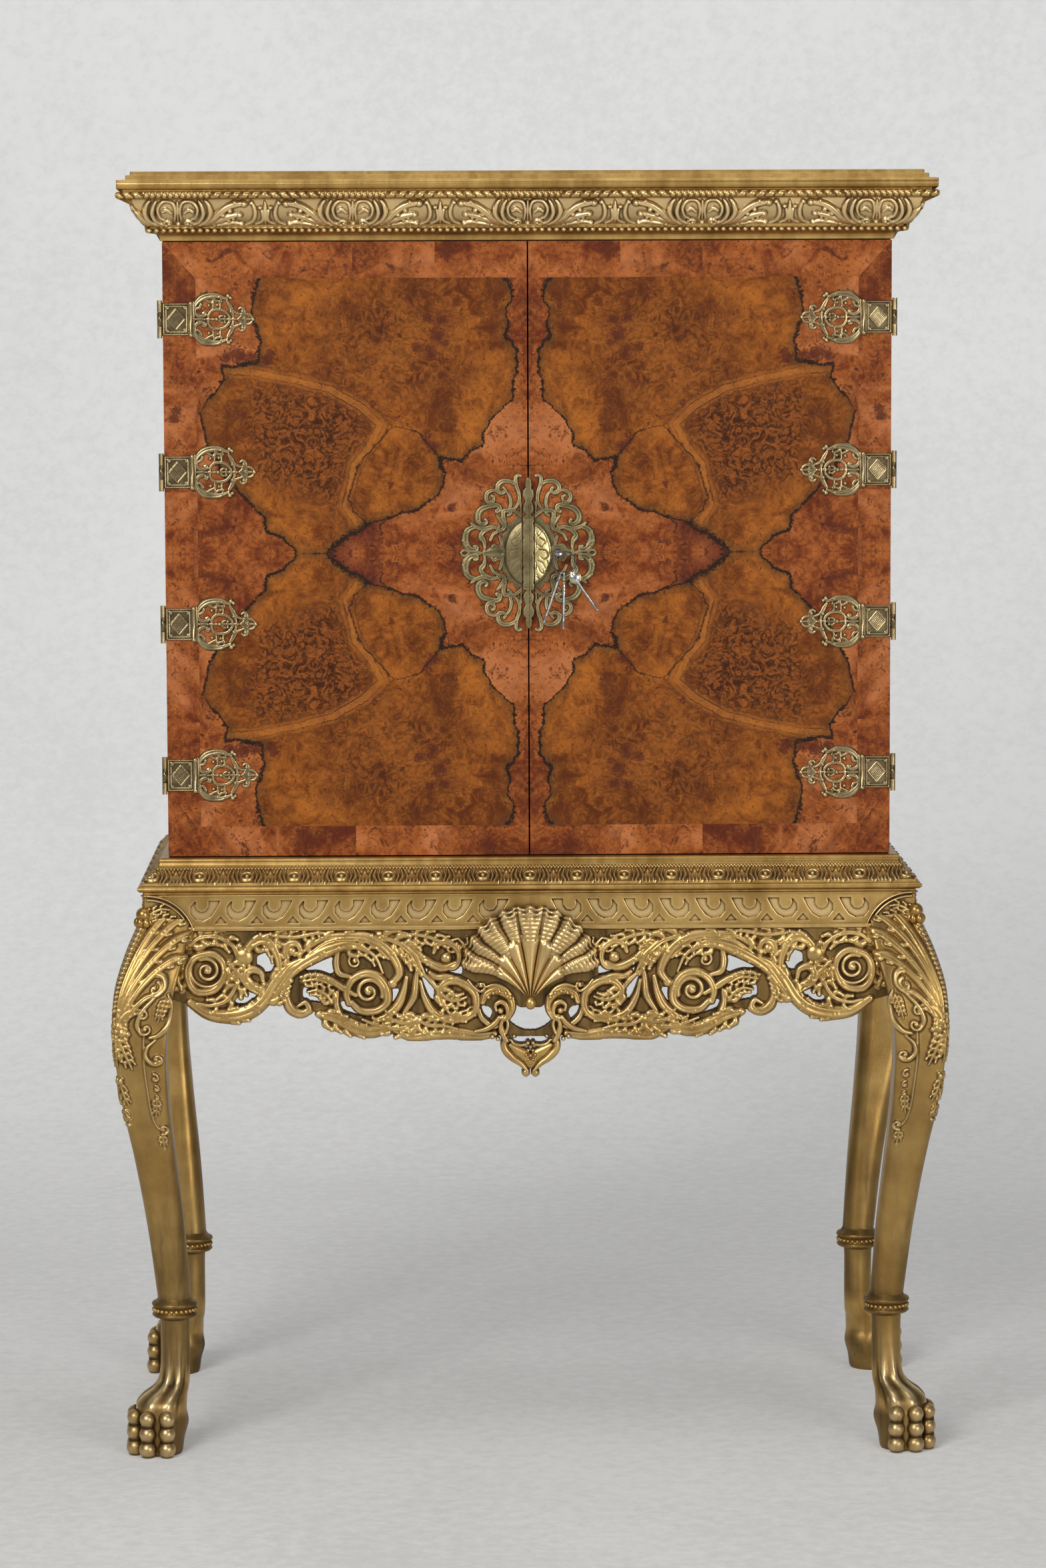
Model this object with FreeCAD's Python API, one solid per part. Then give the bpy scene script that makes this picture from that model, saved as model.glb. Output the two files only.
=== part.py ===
import FreeCAD, Part
import math
import os

V = FreeCAD.Vector
UP = V(0, 0, 1)
ACROSS = V(1, 0, 0)
BACKWARD = V(0, 1, 0)

# A two-door burl walnut cabinet on a carved giltwood stand. The front faces -Y, the floor is
# z = 0, and the origin is under the middle of the piece. All lengths are in millimetres.

# Overall sizes of the cabinet and the stand
overall_height = 1650.0
case_width = 929.0
case_depth = 440.0
cornice_height = 87.0
case_height = 788.0
moulding_height = 45.0
frieze_height = 47.0

case_half = case_width / 2
front_y = -case_depth / 2
back_y = case_depth / 2
case_top_z = overall_height - cornice_height
stand_top_z = case_top_z - case_height
frieze_top_z = stand_top_z - moulding_height
frieze_bottom_z = frieze_top_z - frieze_height

# How far a cut runs past the faces that it opens
overrun = 2.0


def block(x_pair, y_pair, z_pair):
    """A rectangular board between two values on each axis."""
    size = [abs(pair[1] - pair[0]) for pair in (x_pair, y_pair, z_pair)]
    corner = V(min(x_pair), min(y_pair), min(z_pair))
    return Part.makeBox(size[0], size[1], size[2], corner)


def rod(radius, start, end):
    """A round bar between two points."""
    return Part.makeCylinder(radius, (end - start).Length, start, end - start)


def mirror_x(shape):
    return shape.mirror(V(0, 0, 0), ACROSS)


def mirror_y(shape):
    return shape.mirror(V(0, 0, 0), BACKWARD)


def fused(shapes):
    whole = shapes[0]
    for extra in shapes[1:]:
        whole = whole.fuse(extra)
    return whole.removeSplitter()


def closed_face(points):
    """A flat face with straight sides through the points."""
    return Part.Face(Part.makePolygon(points + [points[0]]))


def smooth_face(points):
    """A flat face whose one edge runs smoothly through the points."""
    curve = Part.BSplineCurve()
    curve.interpolate(points, PeriodicFlag=True)
    return Part.Face(Part.Wire([curve.toShape()]))


def turned(profile, x, y):
    """A solid turned about an upright axis, from (radius, height) pairs that start on it."""
    points = [V(x + radius, y, z) for radius, z in profile]
    return closed_face(points).revolve(V(x, y, 0), UP, 360)


os.makedirs("parts", exist_ok=True)


def save(name, *solids):
    shape = solids[0] if len(solids) == 1 else Part.makeCompound(list(solids))
    shape.exportStep("parts/" + name + ".step")


# Mitred mouldings
#
# A profile is a list of shares: of the moulding's projection outwards, and of its height
# upwards. A pair is a corner. Four numbers are an arc: a point on it, then its end.
def moulding_section(shares, projection, height, place):
    points = []
    edges = []
    here = None
    for entry in shares + [shares[0]]:
        end = place(entry[-2] * projection, entry[-1] * height)
        if len(entry) == 4:
            middle = place(entry[0] * projection, entry[1] * height)
            edges.append(Part.Arc(here, middle, end).toShape())
        elif here is not None:
            edges.append(Part.LineSegment(here, end).toShape())
        here = end
        points.append(end)
    return Part.Face(Part.Wire(edges))


def mitred_lengths(shares, projection, height, base_z, inner_share, back_mitre):
    """Front, left, right and back lengths of a moulding that runs round the case."""
    reach = projection + overrun
    inner = -inner_share * projection + overrun
    far_x = case_half + reach
    far_y = -front_y + reach

    front_place = lambda out, up: V(-far_x, front_y - out, base_z + up)
    front = moulding_section(shares, projection, height, front_place)
    front = front.extrude(V(2 * far_x, 0, 0))
    left_place = lambda out, up: V(-case_half - out, -far_y, base_z + up)
    left = moulding_section(shares, projection, height, left_place)
    left = left.extrude(V(0, 2 * far_y, 0))

    low_z = base_z - height - overrun
    tall = V(0, 0, 2 * (height + overrun))
    front_plan = [V(-far_x, -far_y, low_z), V(far_x, -far_y, low_z),
                  V(case_half - inner, front_y + inner, low_z),
                  V(-case_half + inner, front_y + inner, low_z)]
    back_outer_y = far_y if back_mitre else back_y
    back_inner_y = back_y - inner if back_mitre else back_y
    left_plan = [V(-far_x, -far_y, low_z), V(-case_half + inner, front_y + inner, low_z),
                 V(-case_half + inner, back_inner_y, low_z), V(-far_x, back_outer_y, low_z)]
    front = front.common(closed_face(front_plan).extrude(tall))
    left = left.common(closed_face(left_plan).extrude(tall))
    return front, left, mirror_x(left), mirror_y(front)


# Case: four boards, a framed back, two loose shelves on pegs
board = 20.0
door_thickness = 22.0
door_case_gap = 0.5
back_panel_thickness = 10.0
back_panel_inset = 2.0
shelf_thickness = 16.0
shelf_side_gap = 1.0
shelf_front_inset = 14.0
shelf_height_shares = [0.33, 0.66]
peg_radius = 3.0
peg_sunk = 9.0
peg_proud = 12.0
peg_inset = 45.0

carcass_front_y = front_y + door_thickness + door_case_gap
inner_half = case_half - board
floor_board_z = stand_top_z + board
ceiling_z = case_top_z - board
back_panel_front_y = back_y - back_panel_inset - back_panel_thickness
shelf_front_y = carcass_front_y + shelf_front_inset
shelf_levels = [floor_board_z + share * (ceiling_z - floor_board_z)
                for share in shelf_height_shares]
peg_rows_y = [shelf_front_y + peg_inset, back_panel_front_y - peg_inset]

# Surface bolts on the inner face of the left door, shot into the top and bottom boards
bolt_width = 8.0
bolt_thickness = 4.0
bolt_length = 110.0
bolt_travel = 12.0
bolt_from_edge = 24.0
bolt_off_door = 5.0
bolt_rest_gap = 1.5
bolt_clearance = 0.3
bolt_socket_margin = 0.6
bolt_guide_height = 10.0
bolt_guide_wall = 4.0
bolt_knob_radius = 4.0
bolt_knob_length = 9.0
bolt_knob_share = 0.75
bolt_guide_shares = (0.12, 0.88)

door_back_y = front_y + door_thickness
bolt_x = (-bolt_from_edge - bolt_width / 2, -bolt_from_edge + bolt_width / 2)
bolt_y = (door_back_y + bolt_off_door, door_back_y + bolt_off_door + bolt_thickness)


def grown(pair, margin):
    return (min(pair) - margin, max(pair) + margin)


def shelf_pegs():
    pegs = []
    for level in shelf_levels:
        for y in peg_rows_y:
            z = level - peg_radius
            start = V(-inner_half - peg_sunk, y, z)
            peg = rod(peg_radius, start, start + ACROSS * (peg_sunk + peg_proud))
            pegs += [peg, mirror_x(peg)]
    return pegs


pegs = shelf_pegs()
side_board = block((-case_half, -inner_half), (carcass_front_y, back_y),
                   (stand_top_z, case_top_z))
for peg in pegs:
    side_board = side_board.cut(peg)
socket_x = grown(bolt_x, bolt_socket_margin)
socket_y = grown(bolt_y, bolt_socket_margin)
socket_depth = bolt_travel + overrun
top_board = block((-inner_half, inner_half), (carcass_front_y, back_y),
                  (ceiling_z, case_top_z))
bottom_board = block((-inner_half, inner_half), (carcass_front_y, back_y),
                     (stand_top_z, floor_board_z))
top_board = top_board.cut(block(socket_x, socket_y, (ceiling_z - overrun,
                                                     ceiling_z + socket_depth)))
bottom_board = bottom_board.cut(block(socket_x, socket_y, (floor_board_z + overrun,
                                                           floor_board_z - socket_depth)))
save("case_side_left", side_board)
save("case_side_right", mirror_x(side_board))
save("case_top_board", top_board)
save("case_bottom_board", bottom_board)
save("case_back_panel", block((-inner_half, inner_half),
                              (back_panel_front_y, back_panel_front_y + back_panel_thickness),
                              (floor_board_z, ceiling_z)))
shelf_half = inner_half - shelf_side_gap
for name, level in zip(("shelf_lower", "shelf_upper"), shelf_levels):
    save(name, block((-shelf_half, shelf_half), (shelf_front_y, back_panel_front_y),
                     (level, level + shelf_thickness)))
save("shelf_pegs", *pegs)

# Cornice: gilt lengths on three sides, mitred at the front corners, and a dust board
cornice_projection = 53.4
cornice_inner_share = -0.75
cornice_rebate_share = -0.55
cornice_ledge_share = 0.86
cornice_shares = [
    (cornice_inner_share, 0), (0.03, 0), (0.03, 0.02), (0.10, 0.085, 0.24, 0.11),
    (0.25, 0.11), (0.33, 0.15, 0.25, 0.19), (0.26, 0.23), (0.53, 0.375, 0.67, 0.60),
    (0.90, 0.605), (0.97, 0.655, 0.93, 0.70), (0.86, 0.705), (0.86, 0.745),
    (1.0, 0.75), (1.0, 0.875), (0.79, 0.885), (0.79, 0.945), (0.69, 0.95), (0.69, 1.0),
    (cornice_rebate_share, 1.0), (cornice_rebate_share, cornice_ledge_share),
    (cornice_inner_share, cornice_ledge_share)]

cornice_front, cornice_left, cornice_right, _ = mitred_lengths(
    cornice_shares, cornice_projection, cornice_height, case_top_z,
    cornice_inner_share, False)
save("cornice_front", cornice_front)
save("cornice_left", cornice_left)
save("cornice_right", cornice_right)
rebate = cornice_rebate_share * cornice_projection
save("cornice_dust_board", block((-case_half - rebate, case_half + rebate),
                                 (front_y - rebate, back_y),
                                 (case_top_z + cornice_ledge_share * cornice_height,
                                  overall_height)))

# Doors: two overlay slabs that meet in the middle, mortised for the lock
door_meeting_gap = 2.0
door_end_gap = 1.5
door_side_inset = 0.5
lock_height_share = 0.495
key_x = 38.0
key_shank_radius = 2.3
key_fit = 0.08
key_hole_margin = 1.0
key_slot_width = 3.4
key_bit_reach = 9.0
lock_body_length = 72.0
lock_body_height = 60.0
lock_body_thickness = 12.0
lock_body_wall = 1.5
lock_body_drop = 8.0
lock_body_gap = 0.2
lock_bolt_travel = 8.0
lock_bolt_thickness = 6.0
lock_bolt_height = 18.0
lock_bolt_drop = 6.0
lock_bolt_clearance = 0.4
lock_notch_width = 12.0
lock_notch_depth = 5.0
lock_bolt_tail = 5.0

door_inner_x = door_meeting_gap / 2
door_outer_x = case_half - door_side_inset
door_z = (stand_top_z + door_end_gap, case_top_z - door_end_gap)
lock_z = stand_top_z + lock_height_share * case_height
lock_mid_y = front_y + door_thickness / 2
lock_body_x = (door_inner_x, door_inner_x + lock_body_length)
lock_body_y = (lock_mid_y - lock_body_thickness / 2, lock_mid_y + lock_body_thickness / 2)
lock_body_mid_z = lock_z - lock_body_drop
lock_body_z = (lock_body_mid_z - lock_body_height / 2, lock_body_mid_z + lock_body_height / 2)
lock_bolt_y = (lock_mid_y - lock_bolt_thickness / 2, lock_mid_y + lock_bolt_thickness / 2)
lock_bolt_top_z = lock_z - lock_bolt_drop
lock_bolt_z = (lock_bolt_top_z - lock_bolt_height, lock_bolt_top_z)
notch_mid_x = key_x + lock_bolt_travel / 2


def key_way(front, back, margin):
    """A keyhole: a round hole over a slot, cut from front to back."""
    hole = rod(key_shank_radius + margin, V(key_x, front, lock_z), V(key_x, back, lock_z))
    slot = block((key_x - key_slot_width / 2, key_x + key_slot_width / 2), (front, back),
                 (lock_z - key_bit_reach - lock_bolt_clearance, lock_z))
    return fused([hole, slot])


def door_slab():
    return block((-door_outer_x, -door_inner_x), (front_y, door_back_y), door_z)


bolt_hole = block((0, 0 - door_inner_x - lock_bolt_travel - overrun),
                  grown(lock_bolt_y, lock_bolt_clearance),
                  grown(lock_bolt_z, lock_bolt_clearance))
lock_pocket = block((lock_body_x[0] - overrun, lock_body_x[1] + lock_body_gap),
                    grown(lock_body_y, lock_body_gap), grown(lock_body_z, lock_body_gap))
save("door_left", door_slab().cut(bolt_hole))
door_right = mirror_x(door_slab()).cut(lock_pocket)
save("door_right", door_right.cut(key_way(front_y - overrun, lock_mid_y, key_hole_margin)))


# Mortise lock: a steel box let into the right door, a sliding bolt, and the key in it
def lock_box():
    inner_x = (lock_body_x[0] + lock_body_wall, lock_body_x[1] - lock_body_wall)
    body = block(lock_body_x, lock_body_y, lock_body_z)
    body = body.cut(block(inner_x, grown(lock_body_y, -lock_body_wall),
                          grown(lock_body_z, -lock_body_wall)))
    body = body.cut(block((lock_body_x[0] - overrun, lock_body_x[0] + lock_body_wall + overrun),
                          grown(lock_bolt_y, lock_bolt_clearance),
                          grown(lock_bolt_z, lock_bolt_clearance)))
    return body.cut(key_way(lock_body_y[0] - overrun, lock_body_y[0] + lock_body_wall + overrun,
                            key_fit))


def lock_bolt():
    notch_x = (notch_mid_x - lock_notch_width / 2, notch_mid_x + lock_notch_width / 2)
    bolt = block((door_inner_x + lock_body_wall / 2, notch_x[1] + lock_bolt_tail),
                 lock_bolt_y, lock_bolt_z)
    return bolt.cut(block(notch_x, grown(lock_bolt_y, overrun),
                          (lock_bolt_top_z - lock_notch_depth, lock_bolt_top_z + overrun)))


save("lock_case", lock_box())
save("lock_bolt", lock_bolt())

key_tip_gap = 0.4
key_bit_width = 2.6
key_bit_length = 5.2
key_bow_start = 13.0
key_bow_length = 20.0
key_bow_half_width = 10.0
key_bow_thickness = 2.6
key_bow_hole_radius = 4.4
key_collar_radius = 4.2
key_collar_length = 3.0
key_bit_angle = 45.0

bow_front_y = front_y - key_bow_start - key_bow_length
bow_mid_y = front_y - key_bow_start - key_bow_length / 2
key_end_y = lock_body_y[1] - lock_body_wall - key_tip_gap


def bow_plate(half_width, half_length, thickness, hole_radius):
    """An oval key bow in the XY plane about the origin, with a round hole."""
    oval = Part.Ellipse(V(0, 0, -thickness / 2), max(half_width, half_length),
                        min(half_width, half_length)).toShape()
    face = Part.Face(Part.Wire([oval]))
    plate = face.extrude(V(0, 0, thickness))
    if half_length > half_width:
        plate.rotate(V(0, 0, 0), UP, 90)
    return plate.cut(rod(hole_radius, V(0, 0, -thickness), V(0, 0, thickness)))


def lock_key():
    bow = bow_plate(key_bow_half_width, key_bow_length / 2, key_bow_thickness,
                    key_bow_hole_radius)
    bow.translate(V(0, bow_mid_y, 0))
    neck_y = bow_mid_y + (key_bow_hole_radius + key_bow_length / 2) / 2
    shank = rod(key_shank_radius, V(0, neck_y, 0), V(0, key_end_y, 0))
    collar_y = front_y - key_bow_start + key_collar_length
    collar = rod(key_collar_radius, V(0, collar_y - key_collar_length, 0), V(0, collar_y, 0))
    bit_y = (lock_mid_y - key_bit_length / 2, lock_mid_y + key_bit_length / 2)
    bit = block((0, key_bit_reach), bit_y, (-key_bit_width / 2, key_bit_width / 2))
    bit.rotate(V(0, 0, 0), BACKWARD, key_bit_angle)
    key = fused([bow, shank, collar, bit])
    key.translate(V(key_x, 0, lock_z))
    return key


save("key", lock_key())

# Key ring through the bow, and three spare keys that hang from it in a fan
ring_radius = 14.5
ring_wire = 0.9
ring_rest_gap = 0.2
spare_bow_outer = 7.5
spare_bow_hole = 4.6
spare_bow_thickness = 2.0
spare_thread_gap = 0.2
spare_shank_radius = 1.9
spare_bit_length = 7.0
spare_bit_reach = 7.0
spare_bit_width = 1.8
spare_collar_radius = 3.2
spare_collar_length = 2.2
spare_collar_pitch = 4.4

# The ring threads the hole in the bow and rests over the bow's right-hand rim
rim_mid = (key_bow_hole_radius + key_bow_half_width) / 2
rim_half = (key_bow_half_width - key_bow_hole_radius) / 2
ring_hang = math.sqrt((ring_radius - ring_wire - ring_rest_gap) ** 2 - rim_half ** 2)
ring_centre = V(key_x + rim_mid, bow_mid_y, lock_z + key_bow_thickness / 2 - ring_hang)
save("key_ring", Part.makeTorus(ring_radius, ring_wire, ring_centre, BACKWARD))


def spare_key(fan_angle, length, collars):
    """A key that hangs from the ring. The angle is from straight down, towards +X."""
    bow_drop = ring_radius - ring_wire + spare_bow_hole - spare_thread_gap
    bow = bow_plate(spare_bow_outer, spare_bow_outer, spare_bow_thickness, spare_bow_hole)
    bow.rotate(V(0, 0, 0), BACKWARD, 90)
    bow.translate(V(0, 0, -bow_drop))
    shank_top = -bow_drop - (spare_bow_outer + spare_bow_hole) / 2
    shank_end = shank_top - length
    pieces = [bow, rod(spare_shank_radius, V(0, 0, shank_top), V(0, 0, shank_end))]
    bit_z = shank_end + spare_shank_radius
    pieces.append(block((-spare_bit_width / 2, spare_bit_width / 2), (0, -spare_bit_reach),
                        (bit_z, bit_z + spare_bit_length)))
    for turn in range(collars):
        z = shank_top - spare_collar_pitch * (turn + 1)
        pieces.append(rod(spare_collar_radius, V(0, 0, z), V(0, 0, z - spare_collar_length)))
    key = fused(pieces)
    key.rotate(V(0, 0, 0), BACKWARD, -fan_angle)
    key.translate(ring_centre)
    return key


spare_keys = {"spare_key_left": (-19.0, 56.0, 0), "spare_key_middle": (-1.0, 60.0, 3),
              "spare_key_right": (35.0, 50.0, 1)}
for name, (fan_angle, length, collars) in spare_keys.items():
    save(name, spare_key(fan_angle, length, collars))

# Pierced lock plates: half an oval of scrolls on each door, round an embossed half dome.
# Each ring is a scroll: its centre and outer radius as shares of the plate's half height.
plate_half_height = 100.0
plate_thickness = 2.0
plate_ring_width_share = 0.042
plate_ring_shares = [
    (0.11, 0.93, 0.07), (0.265, 0.815, 0.11), (0.43, 0.745, 0.095), (0.50, 0.50, 0.16),
    (0.665, 0.21, 0.19), (0.235, 0.49, 0.09), (0.45, 0.17, 0.09)]
plate_tip_share = (0.79, 0.08)
plate_stem_shares = [(0.235, 0.30, 0.235, 0.42), (0.20, 0.56, 0.235, 0.72),
                     (0.30, 0.50, 0.36, 0.50)]
plate_stem_width_share = 0.05
boss_half_height = 41.0
boss_half_width = 30.0
boss_dome = 8.0
escutcheon_radius = 12.0
strip_half_width = 8.0
strip_height = 6.0
strip_back_share = 0.60
finial_radius = 7.0
finial_proud = 2.5
finial_share = 0.60
strip_end_share = 0.96

plate_back_y = front_y
plate_front_y = front_y - plate_thickness


def plate_ring(x, z, radius, width):
    """A flat ring of sheet brass on the door's face."""
    back = V(x, plate_back_y, z)
    front = V(x, plate_front_y, z)
    outer = rod(radius, back, front)
    reach = V(0, overrun, 0)
    return outer.cut(rod(radius - width, back + reach, front - reach))


def plate_bar(x0, z0, x1, z1, width):
    along = V(x1 - x0, 0, z1 - z0)
    side = V(-along.z, 0, along.x).normalize() * (width / 2)
    start = V(x0, plate_back_y, z0)
    end = start + along
    face = closed_face([start + side, end + side, end - side, start - side])
    return face.extrude(V(0, -plate_thickness, 0))


def half_plate():
    """The right-hand plate, about the lock's height."""
    scale = plate_half_height
    pieces = []
    for x, z, radius in plate_ring_shares:
        for sign in (1, -1):
            pieces.append(plate_ring(x * scale, lock_z + sign * z * scale, radius * scale,
                                     plate_ring_width_share * scale))
    for x0, z0, x1, z1 in plate_stem_shares:
        for sign in (1, -1):
            pieces.append(plate_bar(x0 * scale, lock_z + sign * z0 * scale, x1 * scale,
                                    lock_z + sign * z1 * scale, plate_stem_width_share * scale))
    tip_x, tip_radius = plate_tip_share
    pieces.append(plate_ring(tip_x * scale, lock_z, tip_radius * scale,
                             plate_ring_width_share * scale))
    pieces.append(rod(escutcheon_radius, V(key_x, plate_back_y, lock_z),
                      V(key_x, plate_front_y, lock_z)))
    oval = Part.Ellipse(V(0, 0, 0), boss_half_height, boss_half_width).toShape()
    oval = Part.Face(Part.Wire([oval]))
    base = oval.extrude(V(0, 0, plate_thickness))
    ball = Part.makeSphere(boss_half_height)
    squash = FreeCAD.Matrix()
    squash.scale(1.0, boss_half_width / boss_half_height, boss_dome / boss_half_height)
    dome = ball.transformGeometry(squash)
    dome.translate(V(0, 0, plate_thickness))
    dome = dome.common(Part.makeBox(case_width, case_width, boss_dome + plate_thickness,
                                    V(-case_half, -case_half, 0)))
    boss = base.fuse(dome)
    boss.rotate(V(0, 0, 0), UP, 90)
    boss.rotate(V(0, 0, 0), ACROSS, 90)
    boss.translate(V(0, plate_back_y, lock_z))
    pieces.append(boss)
    plate = fused(pieces)
    keep = block((strip_half_width, case_half), (plate_back_y, front_y - case_depth),
                 door_z)
    plate = plate.common(keep)
    return plate.cut(key_way(plate_back_y + overrun, plate_front_y - overrun,
                             key_hole_margin))


def half_strip():
    """Half of the closing strip over the meeting line, with a round finial at each end."""
    end_z = strip_end_share * plate_half_height
    pieces = [block((door_inner_x, strip_half_width), (front_y, front_y - strip_height
                                                       * strip_back_share),
                    (lock_z - end_z, lock_z + end_z)),
              block((door_inner_x, strip_half_width * strip_back_share),
                    (front_y, front_y - strip_height), (lock_z - end_z, lock_z + end_z))]
    far_y = front_y - strip_height - finial_proud
    for sign in (1, -1):
        z = lock_z + sign * finial_share * plate_half_height
        pieces.append(rod(finial_radius, V(door_inner_x, front_y, z),
                          V(door_inner_x, far_y, z)))
    strip = fused(pieces)
    return strip.common(block((door_inner_x, strip_half_width), (front_y, far_y), door_z))


lock_plate_right = half_plate()
lock_plate_left = mirror_x(lock_plate_right)
save("lock_plate_right", lock_plate_right)
save("lock_plate_left", lock_plate_left)
closing_strip_right = half_strip()
save("closing_strip_right", closing_strip_right)
save("closing_strip_left", mirror_x(closing_strip_right))


# Bolts on the left door, and the guides that hold them
def door_bolt(tip_z, way):
    """A flat bolt whose tip is at tip_z. It shoots up when way is 1, and down when it is -1."""
    tail_z = tip_z - way * bolt_length
    knob_z = tip_z - way * bolt_length * bolt_knob_share
    knob_x = sum(bolt_x) / 2
    knob = rod(bolt_knob_radius, V(knob_x, bolt_y[1], knob_z),
               V(knob_x, bolt_y[1] + bolt_knob_length, knob_z))
    return fused([block(bolt_x, bolt_y, (tail_z, tip_z)), knob])


def bolt_guides(tip_z, way):
    guides = []
    for share in bolt_guide_shares:
        z = tip_z - way * share * bolt_length
        guide = block(grown(bolt_x, bolt_clearance + bolt_guide_wall),
                      (door_back_y, bolt_y[1] + bolt_clearance + bolt_guide_wall),
                      (z, z - way * bolt_guide_height))
        guides.append(guide.cut(block(grown(bolt_x, bolt_clearance),
                                      grown(bolt_y, bolt_clearance),
                                      grown((z, z - way * bolt_guide_height), overrun))))
    return guides


upper_tip_z = ceiling_z - bolt_rest_gap
lower_tip_z = floor_board_z + bolt_rest_gap
save("door_bolt_upper", door_bolt(upper_tip_z, 1))
save("door_bolt_lower", door_bolt(lower_tip_z, -1))
save("door_bolt_guides", *(bolt_guides(upper_tip_z, 1) + bolt_guides(lower_tip_z, -1)))

# Hinges: four a side. A strap on the door's face and a wing on the case side turn on a pin
# that stands just outside the corner. The strap ends in a pierced cartouche.
hinge_leaf = 1.6
knuckle_radius = 3.2
hinge_pin_radius = 1.5
hinge_pin_clearance = 0.05
hinge_knuckle_gap = 0.3
hinge_height = 42.0
hinge_middle_height = 18.0
hinge_leaf_clearance = 0.5
hinge_plate_length = 32.0
hinge_roll_radius = 3.6
hinge_roll_height = 46.0
hinge_cartouche_length = 80.0
hinge_cartouche_half_height = 33.0
hinge_wing_length = 30.0
hinge_pin_cap_radius = 3.2
hinge_pin_cap_height = 3.0
hinge_height_shares = [0.1345, 0.3812, 0.6278, 0.8744]
cartouche_shares = [(0, 0.40), (0.05, 0.66), (0.14, 0.50), (0.24, 0.72), (0.38, 0.98),
                    (0.55, 1.0), (0.68, 0.80), (0.78, 0.52), (0.88, 0.30)]
cartouche_hole_shares = [(0.25, 0.36, 0.060), (0.45, 0.62, 0.085), (0.62, 0.50, 0.070),
                         (0.46, 0.22, 0.055)]

hinge_axis_x = -case_half - knuckle_radius
hinge_axis_y = front_y - knuckle_radius
hinge_levels = [stand_top_z + share * case_height for share in hinge_height_shares]
strap_start_x = hinge_axis_x + knuckle_radius + hinge_leaf_clearance
roll_x = strap_start_x + hinge_plate_length + hinge_roll_radius
cartouche_x = roll_x + hinge_roll_radius / 2


def knuckle(z_pair):
    outer = rod(knuckle_radius, V(hinge_axis_x, hinge_axis_y, z_pair[0]),
                V(hinge_axis_x, hinge_axis_y, z_pair[1]))
    return outer.cut(rod(hinge_pin_radius + hinge_pin_clearance,
                         V(hinge_axis_x, hinge_axis_y, z_pair[0] - overrun),
                         V(hinge_axis_x, hinge_axis_y, z_pair[1] + overrun)))


def cartouche(z):
    def place(along, up):
        return V(cartouche_x + along * hinge_cartouche_length, front_y,
                 z + up * hinge_cartouche_half_height)

    upper = [place(along, up) for along, up in cartouche_shares]
    lower = [place(along, -up) for along, up in reversed(cartouche_shares)]
    face = closed_face(upper + [place(1, 0)] + lower)
    plate = face.extrude(V(0, -hinge_leaf, 0))
    for along, up, radius in cartouche_hole_shares:
        for sign in (1, -1):
            centre = place(along, sign * up)
            reach = V(0, overrun, 0)
            plate = plate.cut(rod(radius * hinge_cartouche_length, centre + reach,
                                  centre - V(0, hinge_leaf, 0) - reach))
    return plate


def hinge_strap(z):
    middle = (z - hinge_middle_height / 2, z + hinge_middle_height / 2)
    full = (z - hinge_height / 2, z + hinge_height / 2)
    leaf_y = (front_y, front_y - hinge_leaf)
    plate = block((strap_start_x, roll_x), leaf_y, full)
    tongue = block((hinge_axis_x, strap_start_x), leaf_y, middle)
    tongue = tongue.cut(rod(hinge_pin_radius + hinge_pin_clearance,
                            V(hinge_axis_x, hinge_axis_y, middle[0] - overrun),
                            V(hinge_axis_x, hinge_axis_y, middle[1] + overrun)))
    roll = rod(hinge_roll_radius, V(roll_x, front_y, z - hinge_roll_height / 2),
               V(roll_x, front_y, z + hinge_roll_height / 2))
    roll = roll.cut(block(grown((roll_x, roll_x), overrun * hinge_roll_radius),
                          (front_y, door_back_y), grown(full, hinge_roll_height)))
    return fused([knuckle(middle), tongue, plate, roll, cartouche(z)])


def hinge_wing(z):
    """The case leaf, with a knuckle above and below the strap's."""
    pieces = []
    leaf_x = (-case_half, -case_half - hinge_leaf)
    wing_end_y = carcass_front_y + hinge_wing_length
    clear_y = hinge_axis_y + knuckle_radius + hinge_leaf_clearance
    pieces.append(block(leaf_x, (clear_y, wing_end_y),
                        (z - hinge_height / 2, z + hinge_height / 2)))
    for sign in (1, -1):
        near = z + sign * (hinge_middle_height / 2 + hinge_knuckle_gap)
        far = z + sign * hinge_height / 2
        pair = (min(near, far), max(near, far))
        arm = block(leaf_x, (hinge_axis_y, clear_y), pair)
        arm = arm.cut(rod(hinge_pin_radius + hinge_pin_clearance,
                          V(hinge_axis_x, hinge_axis_y, pair[0] - overrun),
                          V(hinge_axis_x, hinge_axis_y, pair[1] + overrun)))
        pieces += [arm, knuckle(pair)]
    return fused(pieces)


def hinge_pin(z):
    low = V(hinge_axis_x, hinge_axis_y, z - hinge_height / 2)
    high = V(hinge_axis_x, hinge_axis_y, z + hinge_height / 2)
    cap = UP * hinge_pin_cap_height
    return fused([rod(hinge_pin_radius, low, high), rod(hinge_pin_cap_radius, high, high + cap),
                  rod(hinge_pin_cap_radius, low - cap, low)])


for number, z in enumerate(hinge_levels, start=1):
    strap = hinge_strap(z)
    save("hinge_strap_left_" + str(number), strap)
    save("hinge_strap_right_" + str(number), mirror_x(strap))
wings = [hinge_wing(z) for z in hinge_levels]
pins = [hinge_pin(z) for z in hinge_levels]
save("hinge_wings_left", *wings)
save("hinge_wings_right", *[mirror_x(wing) for wing in wings])
save("hinge_pins_left", *pins)
save("hinge_pins_right", *[mirror_x(pin) for pin in pins])

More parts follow.
